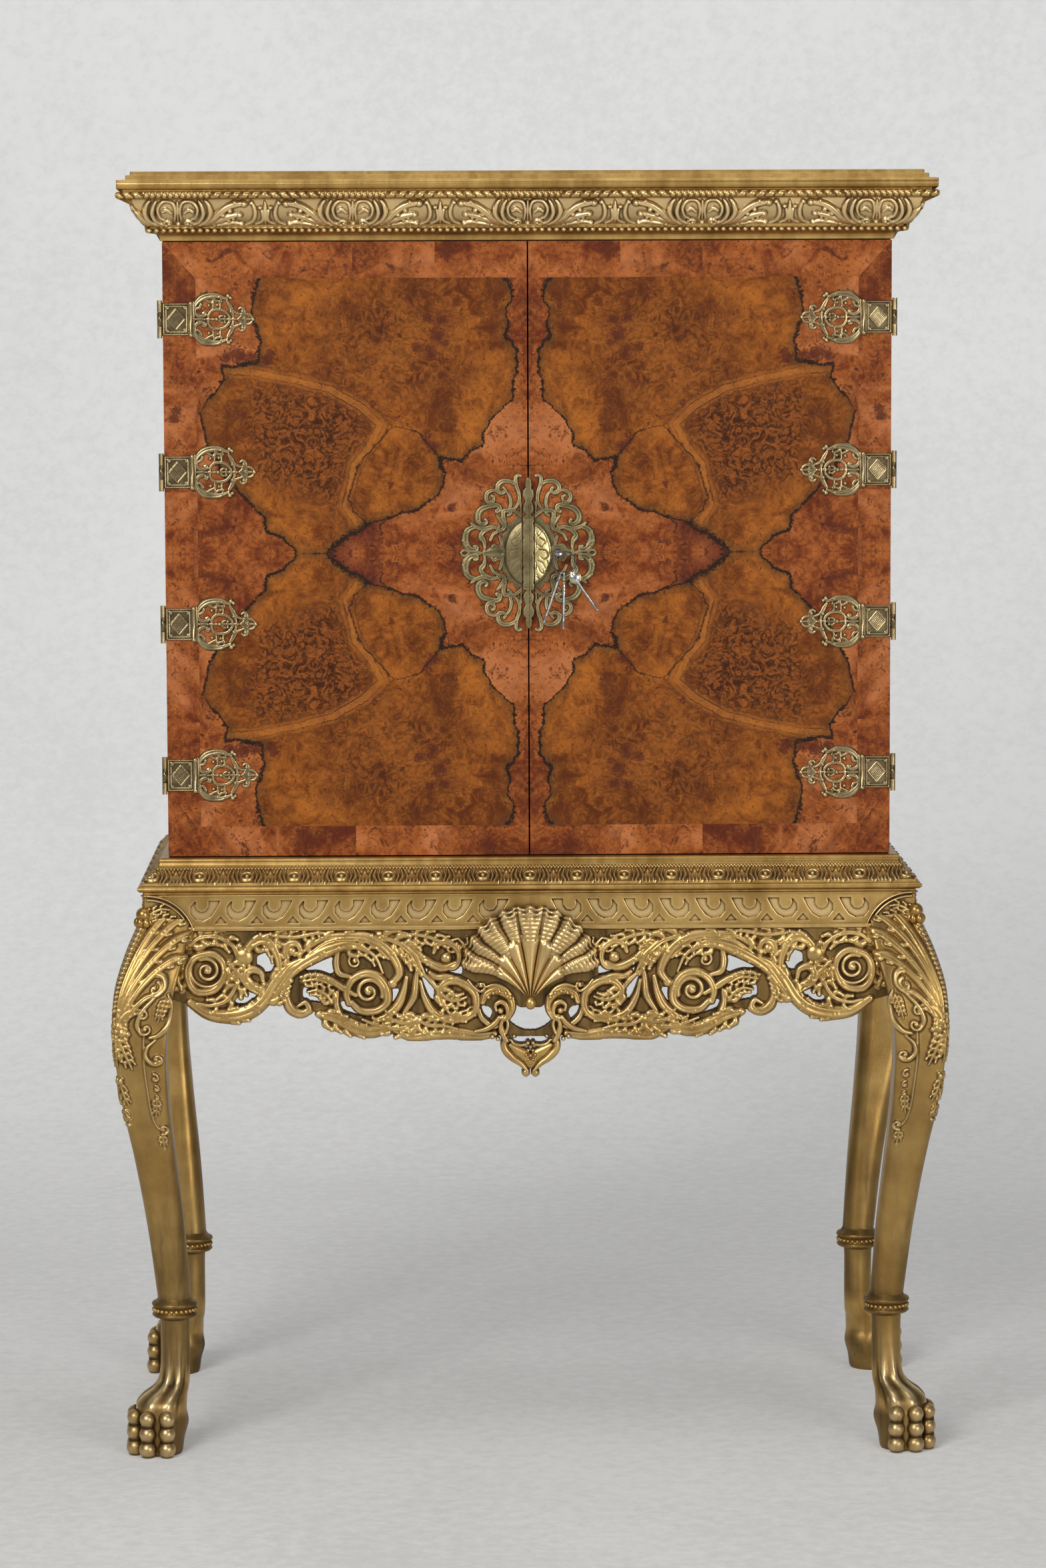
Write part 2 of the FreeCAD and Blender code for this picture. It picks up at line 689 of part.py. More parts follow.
# Stand moulding: four lengths, mitred at the corners, that the case stands on
moulding_projection = 38.5
moulding_inner_share = -0.9
moulding_shares = [
    (moulding_inner_share, 0), (0.20, 0), (0.29, -0.06, 0.26, -0.125), (0.28, -0.15),
    (0.31, -0.215), (0.41, -0.28, 0.33, -0.345), (0.36, -0.355), (0.54, -0.52, 0.80, -0.655),
    (0.86, -0.67), (0.86, -0.72), (0.90, -0.735), (1.0, -0.825, 0.90, -0.915),
    (0.80, -0.93, 0.79, -1.0), (moulding_inner_share, -1.0)]
moulding_front, moulding_left, moulding_right, moulding_back = mitred_lengths(
    moulding_shares, moulding_projection, moulding_height, stand_top_z,
    moulding_inner_share, True)
save("stand_moulding_front", moulding_front)
save("stand_moulding_left", moulding_left)
save("stand_moulding_right", moulding_right)
save("stand_moulding_back", moulding_back)

# Frieze rails between the leg posts, with a proud fillet along the lower edge
frieze_overhang = 30.0
post_size = 59.0
rail_thickness = 24.0
rail_fillet_height = 6.0
rail_fillet_proud = 3.0
bearer_width = 40.0
bearer_height = 30.0
bearer_x_share = 0.35
corner_block_size = 30.0

post_x = (case_half + frieze_overhang - post_size, case_half + frieze_overhang)
post_y = (back_y + frieze_overhang - post_size, back_y + frieze_overhang)
rail_z = (frieze_bottom_z, frieze_top_z)
fillet_z = (frieze_bottom_z, frieze_bottom_z + rail_fillet_height)
rail_front_y = -post_y[1]
rail_left_x = -post_x[1]


def front_rail():
    rail = block((-post_x[0], post_x[0]), (rail_front_y, rail_front_y + rail_thickness), rail_z)
    fillet = block((-post_x[0], post_x[0]), (rail_front_y - rail_fillet_proud, rail_front_y),
                   fillet_z)
    return fused([rail, fillet])


def left_rail():
    rail = block((rail_left_x, rail_left_x + rail_thickness), (-post_y[0], post_y[0]), rail_z)
    fillet = block((rail_left_x - rail_fillet_proud, rail_left_x), (-post_y[0], post_y[0]),
                   fillet_z)
    return fused([rail, fillet])


left_frieze = left_rail()
save("frieze_rail_front", front_rail())
save("frieze_rail_left", left_frieze)
save("frieze_rail_right", mirror_x(left_frieze))
save("frieze_rail_back", block((-post_x[0], post_x[0]),
                               (post_y[1] - rail_thickness, post_y[1]), rail_z))
rail_inner_y = post_y[1] - rail_thickness
bearer_x = bearer_x_share * case_half
bearer_end_y = back_y + moulding_inner_share * moulding_projection
bearer = block(grown((bearer_x, bearer_x), bearer_width / 2), (-bearer_end_y, bearer_end_y),
               (stand_top_z - bearer_height, stand_top_z))
save("stand_bearers", bearer, mirror_x(bearer))


def corner_block():
    """A glued triangular block between a post and the rail beside it."""
    x = post_x[0]
    y = rail_inner_y
    face = closed_face([V(x, y, rail_z[0]), V(x - corner_block_size, y, rail_z[0]),
                        V(x, y - corner_block_size, rail_z[0])])
    return face.extrude(V(0, 0, frieze_height))


corner = corner_block()
save("corner_blocks", corner, mirror_x(corner), mirror_y(corner), mirror_x(mirror_y(corner)))

# Cabriole legs, each carved with its post, collar and paw from one length of wood. The leg is
# square in plan and bows out along the diagonal. Each station is a share of the leg's rise,
# of its bow, of its post's half size, and of that for the rounding of its corners.
ankle_z = 196.0
knee_start_rise = 17.0
leg_bow = 37.0
leg_station_shares = [
    (1.0, 0, 1.0, 0.08), (0.919, 0.345, 1.22, 0.12), (0.813, 0.79, 1.29, 0.15),
    (0.694, 1.0, 1.20, 0.18), (0.552, 0.865, 1.07, 0.20), (0.383, 0.52, 0.90, 0.26),
    (0.206, 0.20, 0.81, 0.36), (0, -0.07, 0.72, 0.50)]
collar_radius = 30.0
collar_height = 22.0
collar_shares = [(0, 0.05), (0.80, 0.05), (1.0, -0.10), (1.0, -0.25), (0.90, -0.35),
                 (0.97, -0.5), (0.90, -0.65), (1.0, -0.75), (0.97, -0.90), (0.72, -1.0),
                 (0, -1.0)]
paw_offset = 20.5
paw_neck_radius = 18.8
paw_shares = [(0.90, 1.15, 0), (0.83, 1.0, 0), (0.66, 1.0, 0), (0.51, 1.04, 0.05),
              (0.44, 1.18, 0.22), (0.38, 1.62, 0.70), (0.30, 1.86, 0.93), (0.15, 1.88, 1.0),
              (0, 1.72, 1.0)]
toe_height = 62.0
toe_radius = 11.5
toe_ring_radius = 33.5
toe_angles = (-64, -21, 21, 64)
toe_shares = [(0, 0), (0.60, 0), (0.95, 0.10), (1.0, 0.20), (0.86, 0.31), (0.80, 0.35),
              (0.92, 0.42), (0.92, 0.57), (0.78, 0.64), (0.78, 0.68), (0.90, 0.76),
              (0.84, 0.90), (0.52, 1.0), (0, 1.0)]

post_half = post_size / 2
post_mid_x = post_x[1] - post_half
post_mid_y = post_y[1] - post_half
knee_start_z = frieze_bottom_z + knee_start_rise
leg_rise = knee_start_z - ankle_z


def rounded_square(x, y, z, half, radius):
    """A level square wire with rounded corners."""
    flat = half - radius
    bend = half - radius * (1 - math.sqrt(0.5))
    edges = []
    for turn in range(4):
        angle = math.radians(90 * turn)
        across = V(math.cos(angle), math.sin(angle), 0)
        along = V(-math.sin(angle), math.cos(angle), 0)
        middle = V(x, y, z)
        start = middle + across * half - along * flat
        end = middle + across * half + along * flat
        corner_start = end
        corner_middle = middle + (across + along) * bend
        corner_end = middle + along * half + across * flat
        edges.append(Part.LineSegment(start, end).toShape())
        edges.append(Part.Arc(corner_start, corner_middle, corner_end).toShape())
    return Part.Wire(edges)


def level_circle(radius, x, y, z):
    return Part.Wire([Part.makeCircle(radius, V(x, y, z), UP)])


def paw(x, y):
    """A lion's paw about a collar at x, y: a domed pad with four toes in a fan."""
    sections = []
    for height, radius, shift in paw_shares:
        reach = shift * paw_offset
        sections.append(level_circle(radius * paw_neck_radius, x + reach, y + reach,
                                     height * ankle_z))
    pieces = [Part.makeLoft(sections, True, False)]
    for angle in toe_angles:
        way = math.radians(45 + angle)
        toe = turned([(radius * toe_radius, height * toe_height)
                      for radius, height in toe_shares],
                     x + paw_offset + toe_ring_radius * math.cos(way),
                     y + paw_offset + toe_ring_radius * math.sin(way))
        pieces.append(toe)
    return pieces


def leg():
    """The leg at the back right corner. The other three are its mirror images."""
    wires = []
    for rise, bow, half, rounding in leg_station_shares:
        shift = bow * leg_bow
        half_size = half * post_half
        wires.append(rounded_square(post_mid_x + shift, post_mid_y + shift,
                                    ankle_z + rise * leg_rise, half_size,
                                    rounding * half_size))
    collar_shift = leg_station_shares[-1][1] * leg_bow
    collar_x = post_mid_x + collar_shift
    collar_y = post_mid_y + collar_shift
    collar = turned([(radius * collar_radius, ankle_z + height * collar_height)
                     for radius, height in collar_shares], collar_x, collar_y)
    post = block(post_x, post_y, rail_z)
    return fused([Part.makeLoft(wires, True, False), post, collar] + paw(collar_x, collar_y))


back_right = leg()
front_right = mirror_y(back_right)
save("leg_back_right", back_right)
save("leg_back_left", mirror_x(back_right))
save("leg_front_right", front_right)
save("leg_front_left", mirror_x(front_right))

# Pierced aprons of scrolls under the frieze, at the front and both sides. The lower edge and
# the openings are shares of the half span outwards and of the drop downwards.
apron_drop = 138.0
apron_thickness = 16.0
apron_relief = 6.0
apron_edge_shares = [
    (1.075, 0), (1.085, 0.30), (1.095, 0.56), (1.04, 0.655), (0.99, 0.703), (0.946, 0.775),
    (0.907, 0.812), (0.843, 0.783), (0.785, 0.681), (0.721, 0.652), (0.705, 0.732),
    (0.675, 0.804), (0.638, 0.761), (0.586, 0.812), (0.546, 0.899), (0.482, 0.949),
    (0.425, 0.928), (0.386, 0.985), (0.328, 1.0), (0.273, 0.971), (0.202, 0.986),
    (0.145, 0.99), (0.113, 0.986), (0.088, 1.0)]
apron_opening_shares = [
    [(0.785, 0.21), (0.808, 0.297), (0.785, 0.399), (0.753, 0.348), (0.765, 0.246)],
    [(0.85, 0.50), (0.882, 0.60), (0.872, 0.675), (0.829, 0.675), (0.806, 0.551),
     (0.829, 0.471)],
    [(0.67, 0.36), (0.63, 0.285), (0.585, 0.25), (0.572, 0.33), (0.58, 0.40), (0.63, 0.405)],
    [(0.67, 0.551), (0.657, 0.50), (0.59, 0.558), (0.59, 0.655), (0.634, 0.675),
     (0.672, 0.625)],
    [(0.563, 0.681), (0.546, 0.659), (0.498, 0.739), (0.441, 0.79), (0.466, 0.804),
     (0.521, 0.79)],
    [(0.418, 0.587), (0.388, 0.558), (0.393, 0.659), (0.413, 0.688)],
    [(0.317, 0.355), (0.273, 0.457), (0.264, 0.616), (0.28, 0.667), (0.312, 0.536)],
    [(0.253, 0.384), (0.20, 0.355), (0.204, 0.435), (0.248, 0.435)],
    [(0.149, 0.717), (0.113, 0.797), (0.122, 0.848), (0.149, 0.855), (0.156, 0.797)]]
apron_centre_opening_shares = [
    (0.046, 0.678), (0, 0.717), (-0.046, 0.678), (-0.05, 0.76), (-0.062, 0.85),
    (-0.042, 0.915), (0, 0.955), (0.042, 0.915), (0.062, 0.85), (0.05, 0.76)]
side_edge_shares = [
    (1.17, 0), (1.19, 0.30), (1.21, 0.56), (1.09, 0.655), (0.976, 0.703), (0.877, 0.775),
    (0.788, 0.812), (0.641, 0.783), (0.51, 0.681), (0.364, 0.652), (0.327, 0.732),
    (0.259, 0.804), (0.175, 0.761), (0.08, 0.77)]
side_opening_shares = [
    [(0.51, 0.21), (0.563, 0.297), (0.51, 0.399), (0.437, 0.348), (0.463, 0.246)],
    [(0.657, 0.50), (0.73, 0.60), (0.712, 0.675), (0.61, 0.675), (0.558, 0.551),
     (0.61, 0.471)],
    [(0.254, 0.377), (0.144, 0.297), (0.06, 0.30), (0.07, 0.50), (0.165, 0.60),
     (0.254, 0.55)]]

# Raised scrolls on the aprons: centre, outer radius and inner radius as shares of the drop,
# the centre's first value being measured inwards from the post
roundel_shares = [(0.149, 0.37, 0.275, 0.16), (1.649, 0.572, 0.203, 0.11)]
ridge_shares = [(0.504, 0.246, 0.065, 0), (0.957, 0.174, 0.065, 0), (1.525, 0.29, 0.087, 0.03),
                (2.424, 0.152, 0.10, 0.04), (2.547, 0.667, 0.09, 0.03), (2.115, 0.925, 0.05, 0)]
button_share = 0.07


def raised_scrolls(shares, place, out):
    """Round scrolls that stand proud of a board. place turns a share pair into a point."""
    scrolls = []
    for along, down, outer, inner in shares:
        centre = place(along, down)
        disc = Part.makeCylinder(outer * apron_drop, apron_relief, centre, out)
        if inner > 0:
            disc = disc.cut(Part.makeCylinder(inner * apron_drop, apron_relief, centre, out))
        scrolls.append(disc)
    return scrolls


def roundel_buttons(place, out):
    return [Part.makeCone(button_share * apron_drop, 0, apron_relief,
                          place(along, down), out)
            for along, down, _, _ in roundel_shares]


def front_apron():
    y = rail_front_y

    def place(across, down):
        return V(across * post_x[0], y, frieze_bottom_z - down * apron_drop)

    left = [place(-across, down) for across, down in apron_edge_shares]
    right = [place(across, down) for across, down in reversed(apron_edge_shares)]
    curve = Part.BSplineCurve()
    curve.interpolate(left)
    mirrored = Part.BSplineCurve()
    mirrored.interpolate(right)
    edges = [curve.toShape(), Part.LineSegment(left[-1], right[0]).toShape(),
             mirrored.toShape(), Part.LineSegment(right[-1], left[0]).toShape()]
    board_shape = Part.Face(Part.Wire(edges)).extrude(V(0, apron_thickness, 0))
    outlines = [apron_centre_opening_shares]
    for outline in apron_opening_shares:
        outlines.append(outline)
        outlines.append([(-across, down) for across, down in outline])
    cutters = []
    for outline in outlines:
        points = [place(across, down) for across, down in outline]
        cutter = smooth_face(points).extrude(V(0, 2 * (apron_thickness + apron_relief), 0))
        cutter.translate(V(0, -apron_thickness, 0))
        cutters.append(cutter)

    def inwards(along, down):
        return V(-post_x[0] + along * apron_drop, y, frieze_bottom_z - down * apron_drop)

    raised = raised_scrolls(roundel_shares + ridge_shares, inwards, V(0, -1, 0))
    raised += roundel_buttons(inwards, V(0, -1, 0))
    raised += [mirror_x(scroll) for scroll in raised]
    whole = fused([board_shape.cut(Part.makeCompound(cutters))] + raised)
    return whole.cut(front_right).cut(mirror_x(front_right))


def left_apron():
    x = rail_left_x

    def place(across, down):
        return V(x, across * post_y[0], frieze_bottom_z - down * apron_drop)

    front = [place(-across, down) for across, down in side_edge_shares]
    back = [place(across, down) for across, down in reversed(side_edge_shares)]
    curve = Part.BSplineCurve()
    curve.interpolate(front)
    mirrored = Part.BSplineCurve()
    mirrored.interpolate(back)
    edges = [curve.toShape(), Part.LineSegment(front[-1], back[0]).toShape(),
             mirrored.toShape(), Part.LineSegment(back[-1], front[0]).toShape()]
    board_shape = Part.Face(Part.Wire(edges)).extrude(V(apron_thickness, 0, 0))
    cutters = []
    for outline in side_opening_shares:
        for sign in (1, -1):
            points = [place(sign * across, down) for across, down in outline]
            cutter = smooth_face(points).extrude(V(2 * (apron_thickness + apron_relief), 0, 0))
            cutter.translate(V(-apron_thickness, 0, 0))
            cutters.append(cutter)

    def inwards(along, down):
        return V(x, -post_y[0] + along * apron_drop, frieze_bottom_z - down * apron_drop)

    raised = raised_scrolls([roundel_shares[0]] + ridge_shares[:2], inwards, V(-1, 0, 0))
    raised.append(roundel_buttons(inwards, V(-1, 0, 0))[0])
    raised += [mirror_y(scroll) for scroll in raised]
    whole = fused([board_shape.cut(Part.makeCompound(cutters))] + raised)
    back_left = mirror_x(back_right)
    return whole.cut(back_left).cut(mirror_x(front_right))


left_apron_board = left_apron()
save("apron_front", front_apron())
save("apron_left", left_apron_board)
save("apron_right", mirror_x(left_apron_board))

# Scallop shell over the middle of the frieze: ribs that fan out from a hinge point
shell_rise = 126.0
shell_hinge_drop = 93.0
shell_ribs = 11
shell_half_fan = 62.0
shell_side_shrink = 0.22
shell_root_radius = 3.0
shell_lip_share = 0.10
shell_swell_share = 1.12
shell_lip_end_share = 0.6
shell_forward = 9.0
shell_scroll_radius = 11.0
shell_scroll_spread = 38.0
shell_scroll_height = 17.0

shell_back_y = rail_front_y - rail_fillet_proud
shell_hinge = V(0, shell_back_y - shell_forward, frieze_bottom_z - shell_hinge_drop)


def scallop_shell():
    step = 2 * shell_half_fan / (shell_ribs - 1)
    ribs = []
    for number in range(shell_ribs):
        angle = math.radians(-shell_half_fan + number * step)
        turn = abs(angle) / math.radians(shell_half_fan)
        length = shell_rise * (1 - shell_side_shrink * turn * turn)
        way = V(math.sin(angle), 0, math.cos(angle))
        rim = length * math.sin(math.radians(step) / 2) * shell_swell_share
        body = length * (1 - shell_lip_share)
        ribs.append(Part.makeCone(shell_root_radius, rim, body, shell_hinge, way))
        ribs.append(Part.makeCone(rim, rim * shell_lip_end_share, length * shell_lip_share,
                                  shell_hinge + way * body, way))
    shell = fused(ribs)
    shell = shell.common(block((-case_half, case_half), (shell_back_y, front_y - case_depth),
                               (0, overall_height)))
    centre_z = shell_hinge.z - shell_root_radius
    scroll = rod(shell_scroll_radius, V(shell_scroll_spread, rail_front_y, centre_z),
                 V(shell_scroll_spread, rail_front_y - shell_scroll_height, centre_z))
    link = block((-shell_scroll_spread, shell_scroll_spread),
                 (rail_front_y, shell_back_y - shell_forward),
                 (centre_z, centre_z + shell_scroll_radius))
    return fused([shell, scroll, mirror_x(scroll), link])


save("shell", scallop_shell())

# Pendant under the middle of the apron
pendant_width = 72.0
pendant_height = 50.0
pendant_front_scale = 0.8
pendant_thickness = 22.0
pendant_shares = [(1.0, 0), (0.93, -0.32), (0.62, -0.60), (0.34, -0.76), (0.27, -0.96),
                  (0, -1.0)]


def pendant():
    top_z = frieze_bottom_z - apron_drop
    half = pendant_width / 2
    right = [V(across * half, rail_front_y, top_z + up * pendant_height)
             for across, up in pendant_shares]
    left = [V(-point.x, point.y, point.z) for point in reversed(right[:-1])]
    face = closed_face(right + left)
    body = face.extrude(V(0, apron_thickness, 0))
    front = closed_face(right + left)
    front.scale(pendant_front_scale, V(0, rail_front_y, top_z))
    return fused([body, front.extrude(V(0, apron_thickness - pendant_thickness, 0))])


save("pendant", pendant())
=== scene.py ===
import math

import bpy
import numpy as np
from mathutils import Matrix, Vector
from mathutils.bvhtree import BVHTree


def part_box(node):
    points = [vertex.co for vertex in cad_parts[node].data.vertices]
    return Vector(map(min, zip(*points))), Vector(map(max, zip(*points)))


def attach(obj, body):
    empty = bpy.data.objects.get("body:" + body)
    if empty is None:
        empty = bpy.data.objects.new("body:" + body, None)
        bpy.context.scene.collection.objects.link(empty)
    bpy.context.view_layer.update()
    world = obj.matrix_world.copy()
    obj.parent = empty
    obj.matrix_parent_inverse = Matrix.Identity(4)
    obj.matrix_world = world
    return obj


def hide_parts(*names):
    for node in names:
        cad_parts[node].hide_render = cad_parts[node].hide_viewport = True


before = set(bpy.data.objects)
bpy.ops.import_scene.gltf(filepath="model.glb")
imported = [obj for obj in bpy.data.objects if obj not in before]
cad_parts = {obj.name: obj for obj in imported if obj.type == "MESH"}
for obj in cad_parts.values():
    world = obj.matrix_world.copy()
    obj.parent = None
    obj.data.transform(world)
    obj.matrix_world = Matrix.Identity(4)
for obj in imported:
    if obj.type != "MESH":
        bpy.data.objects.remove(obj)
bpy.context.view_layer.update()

# The four cabriole legs. Each is one length of limewood, carved with an acanthus knee, a beaded
# arris, a beaded collar and a lion's paw, then gessoed, gilded and rubbed back to a brown ground.
mm = 0.001
root_body = "stand_and_case"
gilt_bright = (0.56, 0.36, 0.118)
gilt_middle = (0.31, 0.178, 0.047)
# dark brown for gilding rubbed through and, on carving, for the painted shade in its hollows
gilt_wear_and_shade = (0.028, 0.015, 0.008)
# pale gold for the painted highlight where carving stands proud
gilt_highlight_colour = (1.0, 0.79, 0.45)


class Tint:
    """One output socket of a material's nodes, with the operators that build shader maths."""

    def __init__(self, recipe, socket, colour=False):
        self.recipe, self.socket, self.colour = recipe, socket, colour

    def _join(self, other, operation, swap=False):
        first, second = (other, self) if swap else (self, other)
        wide = self.colour or (isinstance(other, Tint) and other.colour)
        kind, output = ("ShaderNodeVectorMath", "Vector") if wide else ("ShaderNodeMath", "Value")
        return self.recipe.node(kind, {"operation": operation}, {0: first, 1: second}, output)

    def __add__(self, other):
        return self._join(other, "ADD")

    def __radd__(self, other):
        return self._join(other, "ADD", True)

    def __sub__(self, other):
        return self._join(other, "SUBTRACT")

    def __rsub__(self, other):
        return self._join(other, "SUBTRACT", True)

    def __mul__(self, other):
        return self._join(other, "MULTIPLY")

    def __rmul__(self, other):
        return self._join(other, "MULTIPLY", True)

    def __truediv__(self, other):
        return self._join(other, "DIVIDE")

    def __rtruediv__(self, other):
        return self._join(other, "DIVIDE", True)

    def __abs__(self):
        return self.recipe.node("ShaderNodeMath", {"operation": "ABSOLUTE"}, {0: self}, "Value")


class Recipe:
    """A material made of nodes, ending in one Principled shader."""

    def __init__(self, name):
        self.material = bpy.data.materials.new(name)
        self.material.use_nodes = True
        self.tree = self.material.node_tree
        self.shader = self.tree.nodes["Principled BSDF"]

    def node(self, kind, settings, inputs, output):
        """Any node: its settings first, then the values or links of its sockets."""
        made = self.tree.nodes.new(kind)
        for key, value in settings.items():
            setattr(made, key, value)
        for key, value in inputs.items():
            self.feed(made.inputs[key], value)
        found = made.outputs[output]
        return Tint(self, found, found.type in ("RGBA", "VECTOR"))

    def feed(self, socket, value):
        if isinstance(value, Tint):
            self.tree.links.new(value.socket, socket)
        elif socket.type == "RGBA":
            socket.default_value = (*value, 1) if len(value) == 3 else value
        else:
            socket.default_value = value

    def place(self):
        """Where the shaded point lies in its own object, which stays put as a door swings."""
        return self.node("ShaderNodeTexCoord", {}, {}, "Object")

    def noise(self, vector, scale, detail=4.0, rough=0.55, warp=0.0):
        return self.node("ShaderNodeTexNoise", {}, {"Vector": vector, "Scale": scale,
                         "Detail": detail, "Roughness": rough, "Distortion": warp}, "Fac")

    def step(self, value, low, high):
        """A soft step from 0 to 1 as the value goes from low to high."""
        return self.node("ShaderNodeMapRange", {"interpolation_type": "SMOOTHSTEP"},
                         {"Value": value, "From Min": low, "From Max": high}, "Result")

    def mix(self, share, first, second):
        return self.node("ShaderNodeMix", {"data_type": "RGBA"},
                         {0: share, 6: first, 7: second}, 2)

    def mark(self, name):
        """A value that the mesh carries at each point, such as how much painted shade it has."""
        return self.node("ShaderNodeAttribute", {"attribute_name": name}, {}, "Fac")

    def finish(self, bump=None, strength=0.2, reach=0.001, **sockets):
        """Feed the Principled shader's sockets and give back the material."""
        if bump is not None:
            normal = self.node("ShaderNodeBump", {}, {"Height": bump, "Strength": strength,
                               "Distance": reach}, "Normal")
            self.feed(self.shader.inputs["Normal"], normal)
        for name, value in sockets.items():
            self.feed(self.shader.inputs[name.replace("_", " ")], value)
        return self.material


def gilding(name, carved):
    """Rubbed gold leaf, worn through to brown at random. Where carved it also has painted highlight
    where it stands proud, and brown in its hollows that is partly patina and partly painted shade.
    """
    r = Recipe(name)
    spot = r.place()
    cloud = r.noise(spot, 14.0, 5.0, 0.6)
    streak = r.noise(spot * (60.0, 60.0, 4.0), 1.0, 4.0, 0.6)
    grain = r.noise(spot, 420.0, 3.0, 0.6)
    tone = cloud * 0.55 + streak * 0.45
    colour = r.mix(r.step(tone, 0.36, 0.66), gilt_middle, gilt_bright)
    wear_and_shade = r.step(cloud + grain * 0.35, 0.78, 0.98) * 0.35
    if carved:
        # painted highlight on what stands proud; brown in the hollows, partly patina and partly
        # painted shade, its edge broken by the streaks
        shade_and_patina = r.mark("shade_and_patina")
        painted_highlight = r.mark("painted_highlight")
        colour = r.mix(painted_highlight * 0.8, colour, gilt_highlight_colour)
        shade_and_patina = shade_and_patina + (streak - 0.5) * shade_and_patina * (1.0 - shade_and_patina) * 8.0
        wear_and_shade = r.node("ShaderNodeMath", {"operation": "MAXIMUM"}, {0: wear_and_shade, 1: shade_and_patina}, "Value")
    # random wear and, on carving, the hollows' patina and painted shade take the gilding towards
    # dark brown
    colour = r.mix(wear_and_shade * 0.94, colour, gilt_wear_and_shade)
    rough = 0.27 + wear_and_shade * 0.30 + grain * 0.08
    return r.finish(bump=grain + streak * 0.6, strength=0.12, Base_Color=colour,
                    Metallic=0.88, Roughness=rough)


carved_gilt = gilding("carved_gilt", True)
plain_gilt = gilding("plain_gilt", False)


def smooth_run(points, count):
    """A smooth line through the points, as count evenly numbered samples."""
    points = np.asarray(points, float)
    if len(points) == 2:
        share = np.linspace(0, 1, count)[:, None]
        return points[0] * (1 - share) + points[1] * share
    padded = np.vstack([2 * points[0] - points[1], points, 2 * points[-1] - points[-2]])
    places = np.linspace(0, len(points) - 1 - 1e-6, count)
    index = places.astype(int)
    t = (places - index)[:, None]
    p0, p1, p2, p3 = (padded[index + k] for k in range(4))
    return 0.5 * (2 * p1 + (p2 - p0) * t + (2 * p0 - 5 * p1 + 4 * p2 - p3) * t ** 2
                  + (3 * p1 - p0 - 3 * p2 + p3) * t ** 3)


